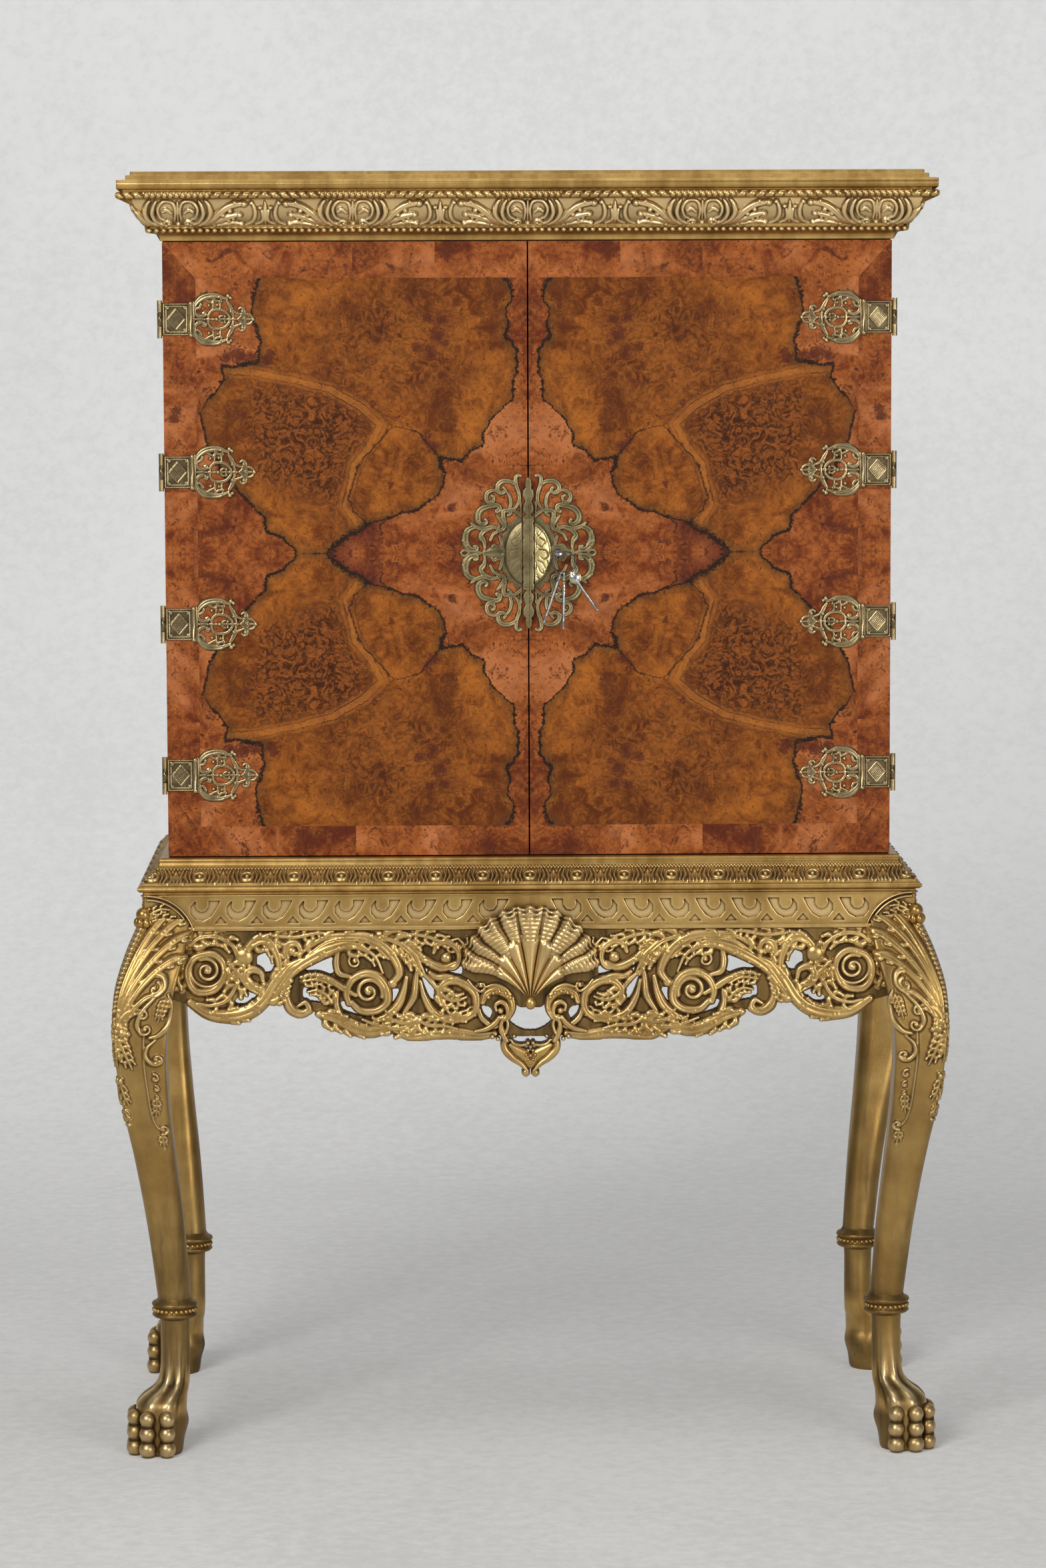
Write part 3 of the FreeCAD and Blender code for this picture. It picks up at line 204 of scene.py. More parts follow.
class Carving:
    """A sheet of relief: heights in millimetres over a grid, cut stroke by stroke."""

    def __init__(self, left, right, low, high, step):
        self.left, self.low, self.step = left, low, step
        self.u = np.arange(left, right + step / 2, step)
        self.v = np.arange(low, high + step / 2, step)
        self.height = np.zeros((len(self.v), len(self.u)))
        self.reach = np.full(self.height.shape, -99.0)
        # ground is how much painted shade the low ground gets, tint a set tone added to the shade
        # and highlight, and depth the relief that counts as full shade or highlight
        self.ground, self.tint, self.depth = 0.0, 0.0, 2.2

    def window(self, points, reach):
        """The rows and columns of the grid that lie within reach of the points."""
        lo = (points.min(0) - reach - (self.left, self.low)) / self.step
        hi = (points.max(0) + reach - (self.left, self.low)) / self.step
        c0, r0 = np.maximum(np.floor(lo).astype(int), 0)
        c1, r1 = np.ceil(hi).astype(int) + 1
        return slice(r0, max(r1, r0)), slice(c0, max(c1, c0))

    def lay(self, area, height):
        self.height[area] = np.maximum(self.height[area], height)

    def stroke(self, points, widths, heights, groove=0.0, flat=0.0, base=0.0):
        """A rounded ridge along the points. Its half width and height run along it."""
        points = np.asarray(points, float)
        length = np.linalg.norm(np.diff(points, axis=0), axis=1).sum()
        line = smooth_run(points, max(8, int(length / (self.step * 0.8))))
        along = np.linspace(0, 1, len(line))
        width = np.interp(along, np.linspace(0, 1, len(widths)), widths)
        height = np.interp(along, np.linspace(0, 1, len(heights)), heights)
        area = self.window(line, max(widths))
        u, v = np.meshgrid(self.u[area[1]], self.v[area[0]])
        if not u.size:
            return line
        best, edge = np.full(u.shape, -9.0), np.full(u.shape, -99.0)
        for start in range(0, len(line), 64):
            part = slice(start, start + 64)
            gap = np.hypot(u[..., None] - line[part, 0], v[..., None] - line[part, 1])
            share = gap / width[part]
            edge = np.maximum(edge, (width[part] - gap).max(-1))
            body = np.sqrt(np.clip(1 - np.clip(share - flat, 0, None) ** 2
                                   / (1 - flat) ** 2, 0, 1))
            if groove and max(widths) > 4.4:
                body = body * (1 - groove * 0.7 * (1 + np.cos(share * 2.4 * math.pi)))
            else:
                body = body - groove * np.exp(-(share / 0.22) ** 2)
            value = np.where(share < 1, base + height[part] * body, -9.0)
            nearest = gap.argmin(-1)
            best = np.maximum(best, value.max(-1) if groove == 0 else
                              np.take_along_axis(value, nearest[..., None], -1)[..., 0])
        self.lay(area, best)
        self.reach[area] = np.maximum(self.reach[area], edge)
        return line

    def dome(self, u, v, radius, height, base=0.0, hole=0.0):
        """A round boss, with a dimple in its top where hole is above zero."""
        centre = np.array([[u, v]])
        area = self.window(centre, radius)
        gu, gv = np.meshgrid(self.u[area[1]], self.v[area[0]])
        if not gu.size:
            return
        gap = np.hypot(gu - u, gv - v) / radius
        body = base + height * np.sqrt(np.clip(1 - gap ** 2, 0, 1))
        if hole:
            body = body - height * 0.8 * np.clip(1 - gap / hole, 0, 1)
        self.lay(area, np.where(gap < 1, body, -9.0))
        self.reach[area] = np.maximum(self.reach[area], (1 - gap) * radius)

    def scroll(self, u, v, radius, turns, start, hand, width, height):
        """A volute: a ridge that winds inwards from the start angle and ends in a round eye."""
        share = np.linspace(0, 1, int(28 * turns) + 8)
        angle = math.radians(start) + hand * share * turns * 2 * math.pi
        reach = radius * (1 - 0.80 * share ** 0.85)
        line = np.stack([u + reach * np.cos(angle), v + reach * np.sin(angle)], 1)
        self.stroke(line, [width, width * 0.62], [height, height * 0.8])
        self.dome(u, v, radius * 0.30, height * 1.1)

    def leaf(self, points, width, height, lobes=4):
        """An acanthus leaf: a grooved rib over a low body, with lobes that curl off its sides."""
        line = smooth_run(points, 40)
        self.stroke(points, [width * 0.55, width * 0.80, width * 0.45, width * 0.2],
                    [height * 0.45])
        step = np.gradient(line, axis=0)
        step /= np.linalg.norm(step, axis=1)[:, None] + 1e-9
        for number in range(lobes):
            at = int((0.06 + 0.84 * number / lobes) * 39)
            size = width * (1.05 - 0.40 * number / lobes)
            for side in (1, -1):
                ahead = step[at]
                out = np.array([-ahead[1], ahead[0]]) * side
                root = line[at]
                tip = root + out * size * 0.98 + ahead * size * 1.05
                middle = root + out * size * 0.70 + ahead * size * 0.22
                self.stroke([root, middle, tip], [size * 0.30, size * 0.46, size * 0.28],
                            [height * 0.65, height * 0.95, height * 0.85])
                self.dome(tip[0], tip[1], size * 0.33, height * 1.1)
        self.stroke(points, [width * 0.26, width * 0.34, width * 0.18],
                    [height, height * 1.1, height * 0.9], groove=0.2)

    def beads(self, points, pitch, radius, height, base=0.0):
        """A row of equal beads along the points."""
        points = np.asarray(points, float)
        length = np.linalg.norm(np.diff(smooth_run(points, 60), axis=0), axis=1).sum()
        for u, v in smooth_run(points, max(2, int(round(length / pitch)) + 1)):
            self.dome(u, v, radius, height, base)

    def soften(self):
        """Take the sharpness off every edge, as gesso and handling do."""
        h = np.pad(self.height, 1, mode="edge")
        self.height = (h[1:-1, 1:-1] * 4 + h[:-2, 1:-1] + h[2:, 1:-1] + h[1:-1, :-2]
                       + h[1:-1, 2:]) / 8

    def blurred(self, passes, grid=None):
        """The heights, or another grid of the same size, averaged over their surroundings."""
        h = self.height if grid is None else grid
        for _ in range(passes):
            p = np.pad(h, 2, mode="edge")
            h = (p[2:-2, 2:-2] * 2 + p[:-4, 2:-2] + p[4:, 2:-2] + p[2:-2, :-4]
                 + p[2:-2, 4:]) / 6
        return h

    def shades(self, depth=None):
        """How much painted shade and painted highlight each cell has, from 0 to 1: shade where it
        lies below its surroundings, highlight where it stands above them.
        """
        depth = depth or self.depth
        lift = self.height - self.blurred(6)
        shade_and_patina = np.clip(-lift / depth * 1.5 - np.minimum(self.tint, 0), 0, 1)
        # painted shade over the low ground between the relief, as much as the ground value says
        if self.ground:
            low_ground_shade = np.clip(1 - self.height / 1.2, 0, 1)
            shade_and_patina = np.maximum(shade_and_patina, self.ground * low_ground_shade)
        return shade_and_patina, np.clip(lift / depth * 0.8 + np.maximum(self.tint, 0), 0, 1)

    def read(self, grid, u, v):
        """The grid's values at any places, blended between its cells."""
        x = np.clip((u - self.left) / self.step, 0, len(self.u) - 1.001)
        y = np.clip((v - self.low) / self.step, 0, len(self.v) - 1.001)
        i, j = x.astype(int), y.astype(int)
        fx, fy = x - i, y - j
        return (grid[j, i] * (1 - fx) * (1 - fy) + grid[j, i + 1] * fx * (1 - fy)
                + grid[j + 1, i] * (1 - fx) * fy + grid[j + 1, i + 1] * fx * fy)


def make_mesh(name, points, faces, material, marks=None, smooth=True):
    """One object from arrays of points and of faces, all with the same number of corners."""
    mesh = bpy.data.meshes.new(name)
    points = np.asarray(points, np.float32).reshape(-1, 3)
    faces = np.asarray(faces, np.int32)
    corners = faces.shape[1]
    mesh.vertices.add(len(points))
    mesh.vertices.foreach_set("co", points.ravel())
    mesh.loops.add(faces.size)
    mesh.loops.foreach_set("vertex_index", faces.ravel())
    mesh.polygons.add(len(faces))
    mesh.polygons.foreach_set("loop_start", np.arange(0, faces.size, corners, dtype=np.int32))
    mesh.polygons.foreach_set("use_smooth", np.full(len(faces), smooth))
    for key, values in (marks or {}).items():
        layer = mesh.attributes.new(key, "FLOAT", "POINT")
        layer.data.foreach_set("value", np.asarray(values, np.float32).ravel())
    mesh.update(calc_edges=True)
    mesh.validate()
    mesh.materials.append(material)
    made = bpy.data.objects.new(name, mesh)
    bpy.context.scene.collection.objects.link(made)
    return made


def grid_faces(rows, columns, wrap=False):
    """Quads over a grid of points. The columns join up again when it wraps."""
    i, j = np.meshgrid(np.arange(rows - 1), np.arange(columns if wrap else columns - 1),
                       indexing="ij")
    k = (j + 1) % columns
    return np.stack([i * columns + j, i * columns + k, (i + 1) * columns + k,
                     (i + 1) * columns + j], -1).reshape(-1, 4)


def joined(parts):
    """Several (points, quads, marks) sets as one."""
    points, faces, marks, start = [], [], {"shade_and_patina": [], "painted_highlight": []}, 0
    for part_points, part_faces, part_marks in parts:
        part_points = np.asarray(part_points, float).reshape(-1, 3)
        points.append(part_points)
        faces.append(np.asarray(part_faces) + start)
        start += len(part_points)
        for key in marks:
            values = np.ravel(part_marks.get(key, 0.0))
            marks[key].append(np.broadcast_to(values, len(part_points)))
    return (np.vstack(points), np.vstack(faces),
            {key: np.concatenate(values) for key, values in marks.items()})


def lathe(profile, centre, axis="z", count=32):
    """A turned form from (radius, place along the axis) pairs, as points and quads."""
    profile = np.asarray(profile, float)
    angle = np.linspace(0, 2 * math.pi, count, endpoint=False)
    ring = np.stack([np.cos(angle), np.sin(angle)], -1)
    flat = profile[:, None, 0, None] * ring[None]
    along = np.broadcast_to(profile[:, None, 1], flat.shape[:2])
    order = {"z": (flat[..., 0], flat[..., 1], along),
             "y": (flat[..., 0], along, -flat[..., 1])}[axis]
    return np.stack(order, -1) + np.asarray(centre), grid_faces(len(profile), count, True), {}


def globe(centre, radius, squash=(1, 1, 1), rings=7, count=10):
    """A small round bead."""
    angle = np.linspace(0, math.pi, rings)
    points, faces, marks = lathe(np.stack([np.sin(angle), -np.cos(angle)], 1), (0, 0, 0),
                                 count=count)
    return points * radius * np.asarray(squash) + np.asarray(centre), faces, marks


# Sizes of the leg, in millimetres, taken from the frame where the frame has them. The frieze board
# stops at a quarter circle round each knee, whose centre is given by its height and its inset.
leg_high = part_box("leg_back_right")[1]
rail_low, rail_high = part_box("frieze_rail_front")
frieze_low = rail_low.z / mm
ankle = 196.0
knee_top = frieze_low + 17.0
knee_middle, knee_reach, knee_cut = 545.0, 90.0, 5.8
carved_from = 405.0
arc_height, arc_inset, arc_reach = 668.0, 4.5, 60.0
post_half = 29.5
post_mid = rail_high.x / mm + post_half
post_mid_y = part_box("frieze_rail_back")[1].y / mm - post_half
bow = 37.0
# rows of height share, share of the bow, half width in posts, and corner radius share
leg_stations = np.array([
    (1.0, 0, 1.0, 0.08), (0.919, 0.345, 1.22, 0.12), (0.813, 0.79, 1.29, 0.15),
    (0.694, 1.0, 1.20, 0.20), (0.552, 0.865, 1.07, 0.30), (0.383, 0.52, 0.90, 0.56),
    (0.206, 0.20, 0.81, 0.78), (0, -0.07, 0.72, 0.90)])


def knee_carving():
    """The knee's relief. Across is measured from the outer arris, in from either face."""
    c = Carving(-4, 84, 400, 726, 0.7)
    c.stroke([(3.2, 704), (3.2, 640), (3.2, 560), (3.2, 500), (3.0, 440)],
             [3.4, 3.6, 3.4, 3.0, 1.5], [1.6, 1.8, 1.6, 1.2, 0.4], flat=0.4)
    c.beads([(1.2, 694), (1.2, 640), (1.2, 586)], 6.0, 3.0, 3.4, 1.2)
    for plume in (((7, 560), (8, 610), (12, 660), (20, 694), (34, 712)),
                  ((8, 560), (12, 612), (22, 660), (37, 690), (54, 704)),
                  ((9, 558), (17, 606), (32, 646), (50, 672), (67, 682)),
                  ((10, 556), (22, 598), (39, 630), (57, 648), (72, 652))):
        c.stroke(plume, [3.0, 5.2, 7.4, 8.0, 4.6], [3.0, 4.8, 5.6, 5.8, 5.2], groove=0.10)
        c.dome(plume[-1][0], plume[-1][1], 4.6, 6.0)
        for t in (0.55, 0.72, 0.88):
            u, v = smooth_run(plume, 41)[int(t * 40)]
            c.stroke([(u, v), (u + 4.5, v - 5.0), (u + 9.5, v - 4.0)], [2.4, 3.4, 2.4],
                     [4.2, 4.8, 4.2])
            c.dome(u + 9.5, v - 4, 2.9, 5.0)
    c.stroke([(27, 622), (42, 632), (56, 628), (61, 615), (54, 605), (44, 606)],
             [3.0, 4.4, 4.6, 4.0, 3.0, 2.2], [4.6, 5.4, 5.2, 4.8])
    c.scroll(49, 614, 8.5, 1.1, 80, -1, 3.0, 5.0)
    c.stroke([(11, 556), (24, 584), (40, 602), (58, 608)], [2.6, 5.0, 5.4, 3.6],
             [3.4, 5.0, 5.4, 4.8], groove=0.14)
    c.leaf([(5, 560), (14, 578), (26, 587), (37, 587)], 9.0, 4.4, 4)
    c.scroll(39, 580, 6.5, 1.1, 80, -1, 2.6, 4.6)
    c.dome(9, 566, 6.0, 5.0)
    c.dome(14, 557, 7.0, 5.6)
    for turn in range(7):
        angle = math.radians(turn * 51.4)
        c.dome(13 + 8.5 * math.cos(angle), 556 + 8.5 * math.sin(angle), 4.4, 4.6)
    c.dome(4, 548, 4.5, 4.2)
    c.leaf([(9, 548), (14, 536), (19, 522), (23, 510)], 9.0, 4.4, 4)
    c.leaf([(4, 545), (4, 530), (4, 514)], 7.0, 4.0, 3)
    c.dome(4, 494, 5.2, 4.6)
    c.dome(8, 499, 3.0, 3.4)
    c.leaf([(3, 490), (6, 474), (10, 462)], 6.5, 3.8, 3)
    c.leaf([(2, 456), (4, 446), (7, 440)], 4.5, 3.0, 2)
    c.dome(2.5, 436, 3.0, 3.0)
    return c


knee = knee_carving()
knee_inner = Carving(-60, 24, 400, 726, 0.7)
knee_inner.stroke([(-14, 611), (-24, 600), (-34, 586), (-38, 569), (-31, 556)],
                  [1.8, 3.0, 4.2, 4.2, 3.0], [3.0, 4.6, 5.2, 4.8, 3.8], groove=0.1)
knee_inner.stroke([(-6, 607), (2, 590), (2, 570), (-8, 555), (-20, 551)],
                  [2.0, 3.4, 4.6, 4.4, 2.6], [3.0, 4.6, 5.2, 4.8, 3.8], groove=0.1)
knee_inner.leaf([(-8, 600), (-10, 585), (-12, 570)], 6.5, 3.4, 4)
knee_inner.scroll(-26, 562, 8, 1.2, 200, 1, 2.8, 4.8)
knee_inner.stroke([(-12, 548), (-22, 538), (-23, 526), (-14, 517), (-4, 521)],
                  [2.0, 3.2, 3.8, 3.8, 2.6], [3.0, 4.4, 4.8, 4.6, 3.6])
knee_inner.scroll(-9, 523, 7.5, 1.1, 250, 1, 2.6, 4.6)
knee_inner.stroke([(-27, 552), (-26, 520), (-23, 480), (-20, 450), (-14, 433), (-6, 428)],
                  [1.9, 1.8, 1.7, 1.7, 1.8, 1.6], [2.6, 2.4, 2.4, 2.4, 2.6, 2.2])
knee_inner.scroll(-7, 430, 6.5, 1.2, 250, 1, 2.4, 4.2)
for place, low, size in ((-13, 498, 6.0), (-12, 484, 4.8), (-12, 472, 3.8)):
    knee_inner.scroll(place, low, size, 1.0, 100, -1, size * 0.38, 4.0)
knee_inner.leaf([(-12, 470), (-13, 458), (-15, 446)], 5.0, 3.2, 3)
knee_inner.leaf([(-9, 421), (-9, 413), (-8, 406)], 5.0, 3.2, 2)
knee_inner.dome(-8, 404, 2.6, 2.8)
for sheet in (knee, knee_inner):
    sheet.soften()
outer_sheets = (knee.height, *knee.shades())
inner_sheets = (knee_inner.height, *knee_inner.shades())


def along_stations(heights):
    """The leg's centre, half width and corner radius at each height, in millimetres."""
    share = (heights - ankle) / (knee_top - ankle)
    places = leg_stations[::-1, 0]
    columns = []
    for column in (1, 2, 3):
        values = leg_stations[::-1, column]
        slope = np.gradient(values, places)
        index = np.clip(np.searchsorted(places, share) - 1, 0, len(places) - 2)
        span = places[index + 1] - places[index]
        t = (share - places[index]) / span
        columns.append((2 * t ** 3 - 3 * t ** 2 + 1) * values[index]
                       + (t ** 3 - 2 * t ** 2 + t) * span * slope[index]
                       + (-2 * t ** 3 + 3 * t ** 2) * values[index + 1]
                       + (t ** 3 - t ** 2) * span * slope[index + 1])
    half = columns[1] * post_half
    return columns[0] * bow, half, columns[2] * half


def rounded_square(half, radius, share):
    """Points and outward directions round a square, share running 0 to 4 from the +X face."""
    flat = half - radius
    arc = radius * math.pi / 2
    quarter = 2 * flat + arc
    turn = np.floor(share + 1e-9)
    reach = (share - turn) * quarter
    on_first = reach <= flat
    on_arc = (reach > flat) & (reach <= flat + arc)
    angle = np.where(on_arc, (reach - flat) / np.maximum(radius, 1e-6), 0)
    x = np.where(on_first, half, np.where(on_arc, flat + radius * np.cos(angle),
                                          flat - (reach - flat - arc)))
    y = np.where(on_first, reach, np.where(on_arc, flat + radius * np.sin(angle), half))
    nx = np.where(on_first, 1.0, np.where(on_arc, np.cos(angle), 0.0))
    ny = np.where(on_first, 0.0, np.where(on_arc, np.sin(angle), 1.0))
    cos, sin = np.cos(turn * math.pi / 2), np.sin(turn * math.pi / 2)
    arris = quarter * (share - 0.5)
    return x * cos - y * sin, x * sin + y * cos, nx * cos - ny * sin, nx * sin + ny * cos, arris


def leg_parts(fine):
    """The shaft of the back right leg, with its knee carved at the given fineness."""
    rows = np.concatenate([np.arange(ankle, carved_from, 6.0),
                           np.arange(carved_from, knee_top, fine)])
    outer = np.arange(-0.55, 1.55, fine / 62)
    inner = np.linspace(1.55, 3.45, 16, endpoint=False)
    share = np.concatenate([outer, inner])
    z, s = np.meshgrid(rows, share % 4, indexing="ij")
    shift, half, radius = along_stations(z)
    x, y, nx, ny, arris = rounded_square(half, radius, s)
    across = np.abs(arris)
    from_inner = across - ((half - radius) * 2 + radius * math.pi / 2)
    shown = (s < 1.56) | (s > 3.44)
    lift, shade_and_patina, painted_highlight = (
        np.where(shown, np.maximum(knee.read(first, across, z),
                                   knee_inner.read(second, from_inner, z)), 0)
        for first, second in zip(outer_sheets, inner_sheets))
    lift = lift * (z > 402)
    # the carving stands in the thickness of the knee, so its ground is cut back there
    sink = knee_cut * np.exp(-((z - knee_middle) / knee_reach) ** 2)
    x = post_mid + shift + x + nx * lift - np.maximum(nx, 0) * sink
    y = post_mid_y + shift + y + ny * lift - np.maximum(ny, 0) * sink
    x, y = np.minimum(x, leg_high.x / mm), np.minimum(y, leg_high.y / mm)
    # the frieze board laps over the knee outside its quarter circle
    from_end = post_half - arc_inset
    lapped = np.hypot(np.maximum(0, post_mid_y + from_end - y), z - arc_height) > arc_reach - 1
    x = np.where(lapped & (z > arc_height), np.minimum(x, post_mid + post_half - 0.3), x)
    lapped = np.hypot(np.maximum(0, post_mid + from_end - x), z - arc_height) > arc_reach - 1
    y = np.where(lapped & (z > arc_height), np.minimum(y, post_mid_y + post_half - 0.3), y)
    # darker all over the shaft, and more so towards the bottom
    shade_and_patina = np.maximum(shade_and_patina, 0.24 + 0.16 * np.clip((420 - z) / 160, 0, 1))
    # painted shade in the corner just above the collar
    shade_and_patina = np.maximum(shade_and_patina, np.clip((ankle + 26 - z) / 30, 0, 1) * 0.75)
    # painted shadow over the plain top of the knee
    shade_and_patina = np.where((lift < 1.0) & (z > 596), 0.45, shade_and_patina)
    # less of the darkening on the highest carving
    shade_and_patina = shade_and_patina * np.where(lift < 3.5, 1.0, 0.4)
    return [(np.stack([x, y, z], -1), grid_faces(len(rows), len(share), True),
             {"shade_and_patina": shade_and_patina, "painted_highlight": painted_highlight})]


def block_part(low, high):
    """A plain block from its corners."""
    x, y, z = zip(low, high)
    points = [(x[i], y[j], z[k]) for i in (0, 1) for j in (0, 1) for k in (0, 1)]
    faces = [(0, 1, 3, 2), (4, 6, 7, 5), (0, 4, 5, 1), (2, 3, 7, 6), (0, 2, 6, 4), (1, 5, 7, 3)]
    return points, faces, {}


collar_x = post_mid + leg_stations[-1, 1] * bow
collar_y = post_mid_y + leg_stations[-1, 1] * bow
collar_beads, bead_ring, bead_drop, bead_size = 26, 27.0, 11.0, 2.9


def collar_parts():
    """The turned ring at the ankle, with its row of beads."""
    profile = [(21, ankle + 6), (24, ankle + 1), (29, ankle - 1.5), (30, ankle - 4),
               (28.5, ankle - 6.5), (26.5, ankle - 7.5), (26.5, ankle - 14.5),
               (28.5, ankle - 15.5), (29.5, ankle - 18), (27, ankle - 20.5), (22, ankle - 22),
               (19, ankle - 24)]
    points, faces, _ = lathe(profile[::-1], (collar_x, collar_y, 0), count=48)
    parts = [(points, faces, {"shade_and_patina": 0.55})]
    for angle in np.linspace(0, 2 * math.pi, collar_beads, endpoint=False):
        parts.append(globe((collar_x + bead_ring * math.cos(angle),
                            collar_y + bead_ring * math.sin(angle), ankle - bead_drop), bead_size))
    return parts


# the paw: its toes by their angle from straight ahead, each with three knuckles, as height and
# radius, and the creases between them
toe_angles, toe_reach = (-64, -21, 21, 64), 33.5
knuckles = ((10.6, 11.6), (30.6, 11.0), (50.0, 10.4))
creases = (0, 20.8, 40.6)
paw_forward, neck_radius = 20.5, 18.8
sinew_middle, sinew_spread, sinew_lift = 84, 34, 3.4
heel_middle, heel_spread, heel_lift = 40, 16, 9.0
paw_columns, toe_columns, toe_rows = 120, 28, 84


def paw_parts():
    """The paw: a neck that spreads over four toes, with the sinews standing out."""
    # rows of height share, radius in necks, and share of the step forward
    table = np.array([(0.90, 1.05, 0), (0.83, 1.0, 0), (0.66, 1.0, 0), (0.51, 1.04, 0.05),
                      (0.44, 1.18, 0.22), (0.385, 1.55, 0.66), (0.33, 1.74, 0.88),
                      (0.24, 1.66, 0.95), (0.12, 1.66, 0.98), (0.03, 1.60, 0.98), (0, 1.5, 0.98)])
    table = smooth_run(table, 90)
    angle = np.linspace(0, 2 * math.pi, paw_columns, endpoint=False)
    z = table[:, 0, None] * ankle + 0 * angle
    radius = table[:, 1, None] * neck_radius
    out = np.cos(angle - math.pi / 4)[None]
    sinew = np.zeros_like(z)
    for toe in toe_angles:
        away = (angle - math.radians(45 + toe) + math.pi) % (2 * math.pi) - math.pi
        sinew = np.maximum(sinew, np.exp(-(away / 0.20) ** 2))
    band = np.exp(-((z - sinew_middle) / sinew_spread) ** 2) * (z > 50)
    lift = sinew_lift * sinew * band - 1.6 * band * (out > 0.2)
    heel = heel_lift * np.exp(-((z - heel_middle) / heel_spread) ** 2) * np.clip(-out, 0, 1) ** 2
    step = table[:, 2, None] * paw_forward
    x = collar_x + step + (radius + lift + heel) * np.cos(angle)
    y = collar_y + step + (radius + lift + heel) * np.sin(angle)
    # painted shade in the grooves between the sinews, over the neck under the collar and round the
    # foot where the toes join it; painted highlight along the sinews
    dark = np.clip(band * (1 - sinew) * (out > 0), 0, 1) * 0.85
    dark = np.maximum(dark, np.clip((z - 95) / 20, 0, 1) * 0.42)
    dark = np.maximum(dark, np.clip((58 - z) / 12, 0, 1) * 0.6)
    parts = [(np.stack([x, y, z], -1)[::-1], grid_faces(len(table), paw_columns, True),
              {"shade_and_patina": dark[::-1], "painted_highlight": (sinew * band * 0.8)[::-1]})]
    heights = np.linspace(0.2, 60.35, toe_rows)
    radii, crease = np.where(heights < 50, 8.7, 0.02), np.zeros(toe_rows)
    for middle, radius in knuckles:
        radii = np.maximum(radii, np.sqrt(np.clip(radius ** 2 - (heights - middle) ** 2, 0, None)))
    radii *= np.clip(heights / 1.5 + 0.5, 0, 1)
    for middle in creases:
        crease = np.maximum(crease, np.exp(-((heights - middle) / 3.4) ** 2))
    smooth_radii = np.convolve(np.pad(radii, 1, mode="edge"), [0.25, 0.5, 0.25], "valid")
    for toe in toe_angles:
        way = math.radians(45 + toe)
        centre = (collar_x + paw_forward + toe_reach * math.cos(way),
                  collar_y + paw_forward + toe_reach * math.sin(way), 0)
        points, faces, _ = lathe(np.stack([smooth_radii, heights], 1), centre, count=toe_columns)
        turn = np.linspace(0, 2 * math.pi, toe_columns, endpoint=False)[None]
        facing = np.cos(turn - way)
        # painted shade in the creases between the knuckles and on each toe's sides and back, and a
        # little everywhere; painted highlight on the front of each knuckle
        shade = np.maximum(crease[:, None] + 0 * turn, np.clip(0.5 - facing * 1.3, 0.22, 1))
        toe_highlight = np.clip(facing, 0, 1) * (1 - crease[:, None])
        parts.append((points, faces, {"shade_and_patina": shade, "painted_highlight": toe_highlight * 0.5}))
    return parts


def bud_parts():
    """The round bud and its cup at the top of the arris."""
    x, y = post_mid + post_half + 1, post_mid_y + post_half + 1
    parts = [globe((x, y, frieze_low + 22), 9.5, rings=14, count=20)]
    for turn in range(6):
        angle = math.radians(60 * turn)
        parts.append(globe((x + 7.5 * math.cos(angle), y + 7.5 * math.sin(angle),
                            frieze_low + 12), 5.2, (1, 1, 1.3)))
    return parts


leg_sides = {"leg_back_right": (1, 1, 1.7), "leg_back_left": (-1, 1, 1.7),
             "leg_front_right": (1, -1, 0.9), "leg_front_left": (-1, -1, 0.9)}
post_block = block_part((post_mid - post_half, post_mid_y - post_half, frieze_low),
                        (post_mid + post_half - 0.5, post_mid_y + post_half - 0.5,
                         rail_high.z / mm))
for node_name, (across, deep, fine) in leg_sides.items():
    points, faces, marks = joined(leg_parts(fine) + collar_parts() + paw_parts() + [post_block]
                                  + bud_parts())
    points = points * (across, deep, 1) * mm
    if across * deep < 0:
        faces = faces[:, ::-1]
    leg = make_mesh("carved_" + node_name, points, faces, carved_gilt, marks)
    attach(leg, root_body)
    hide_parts(node_name)

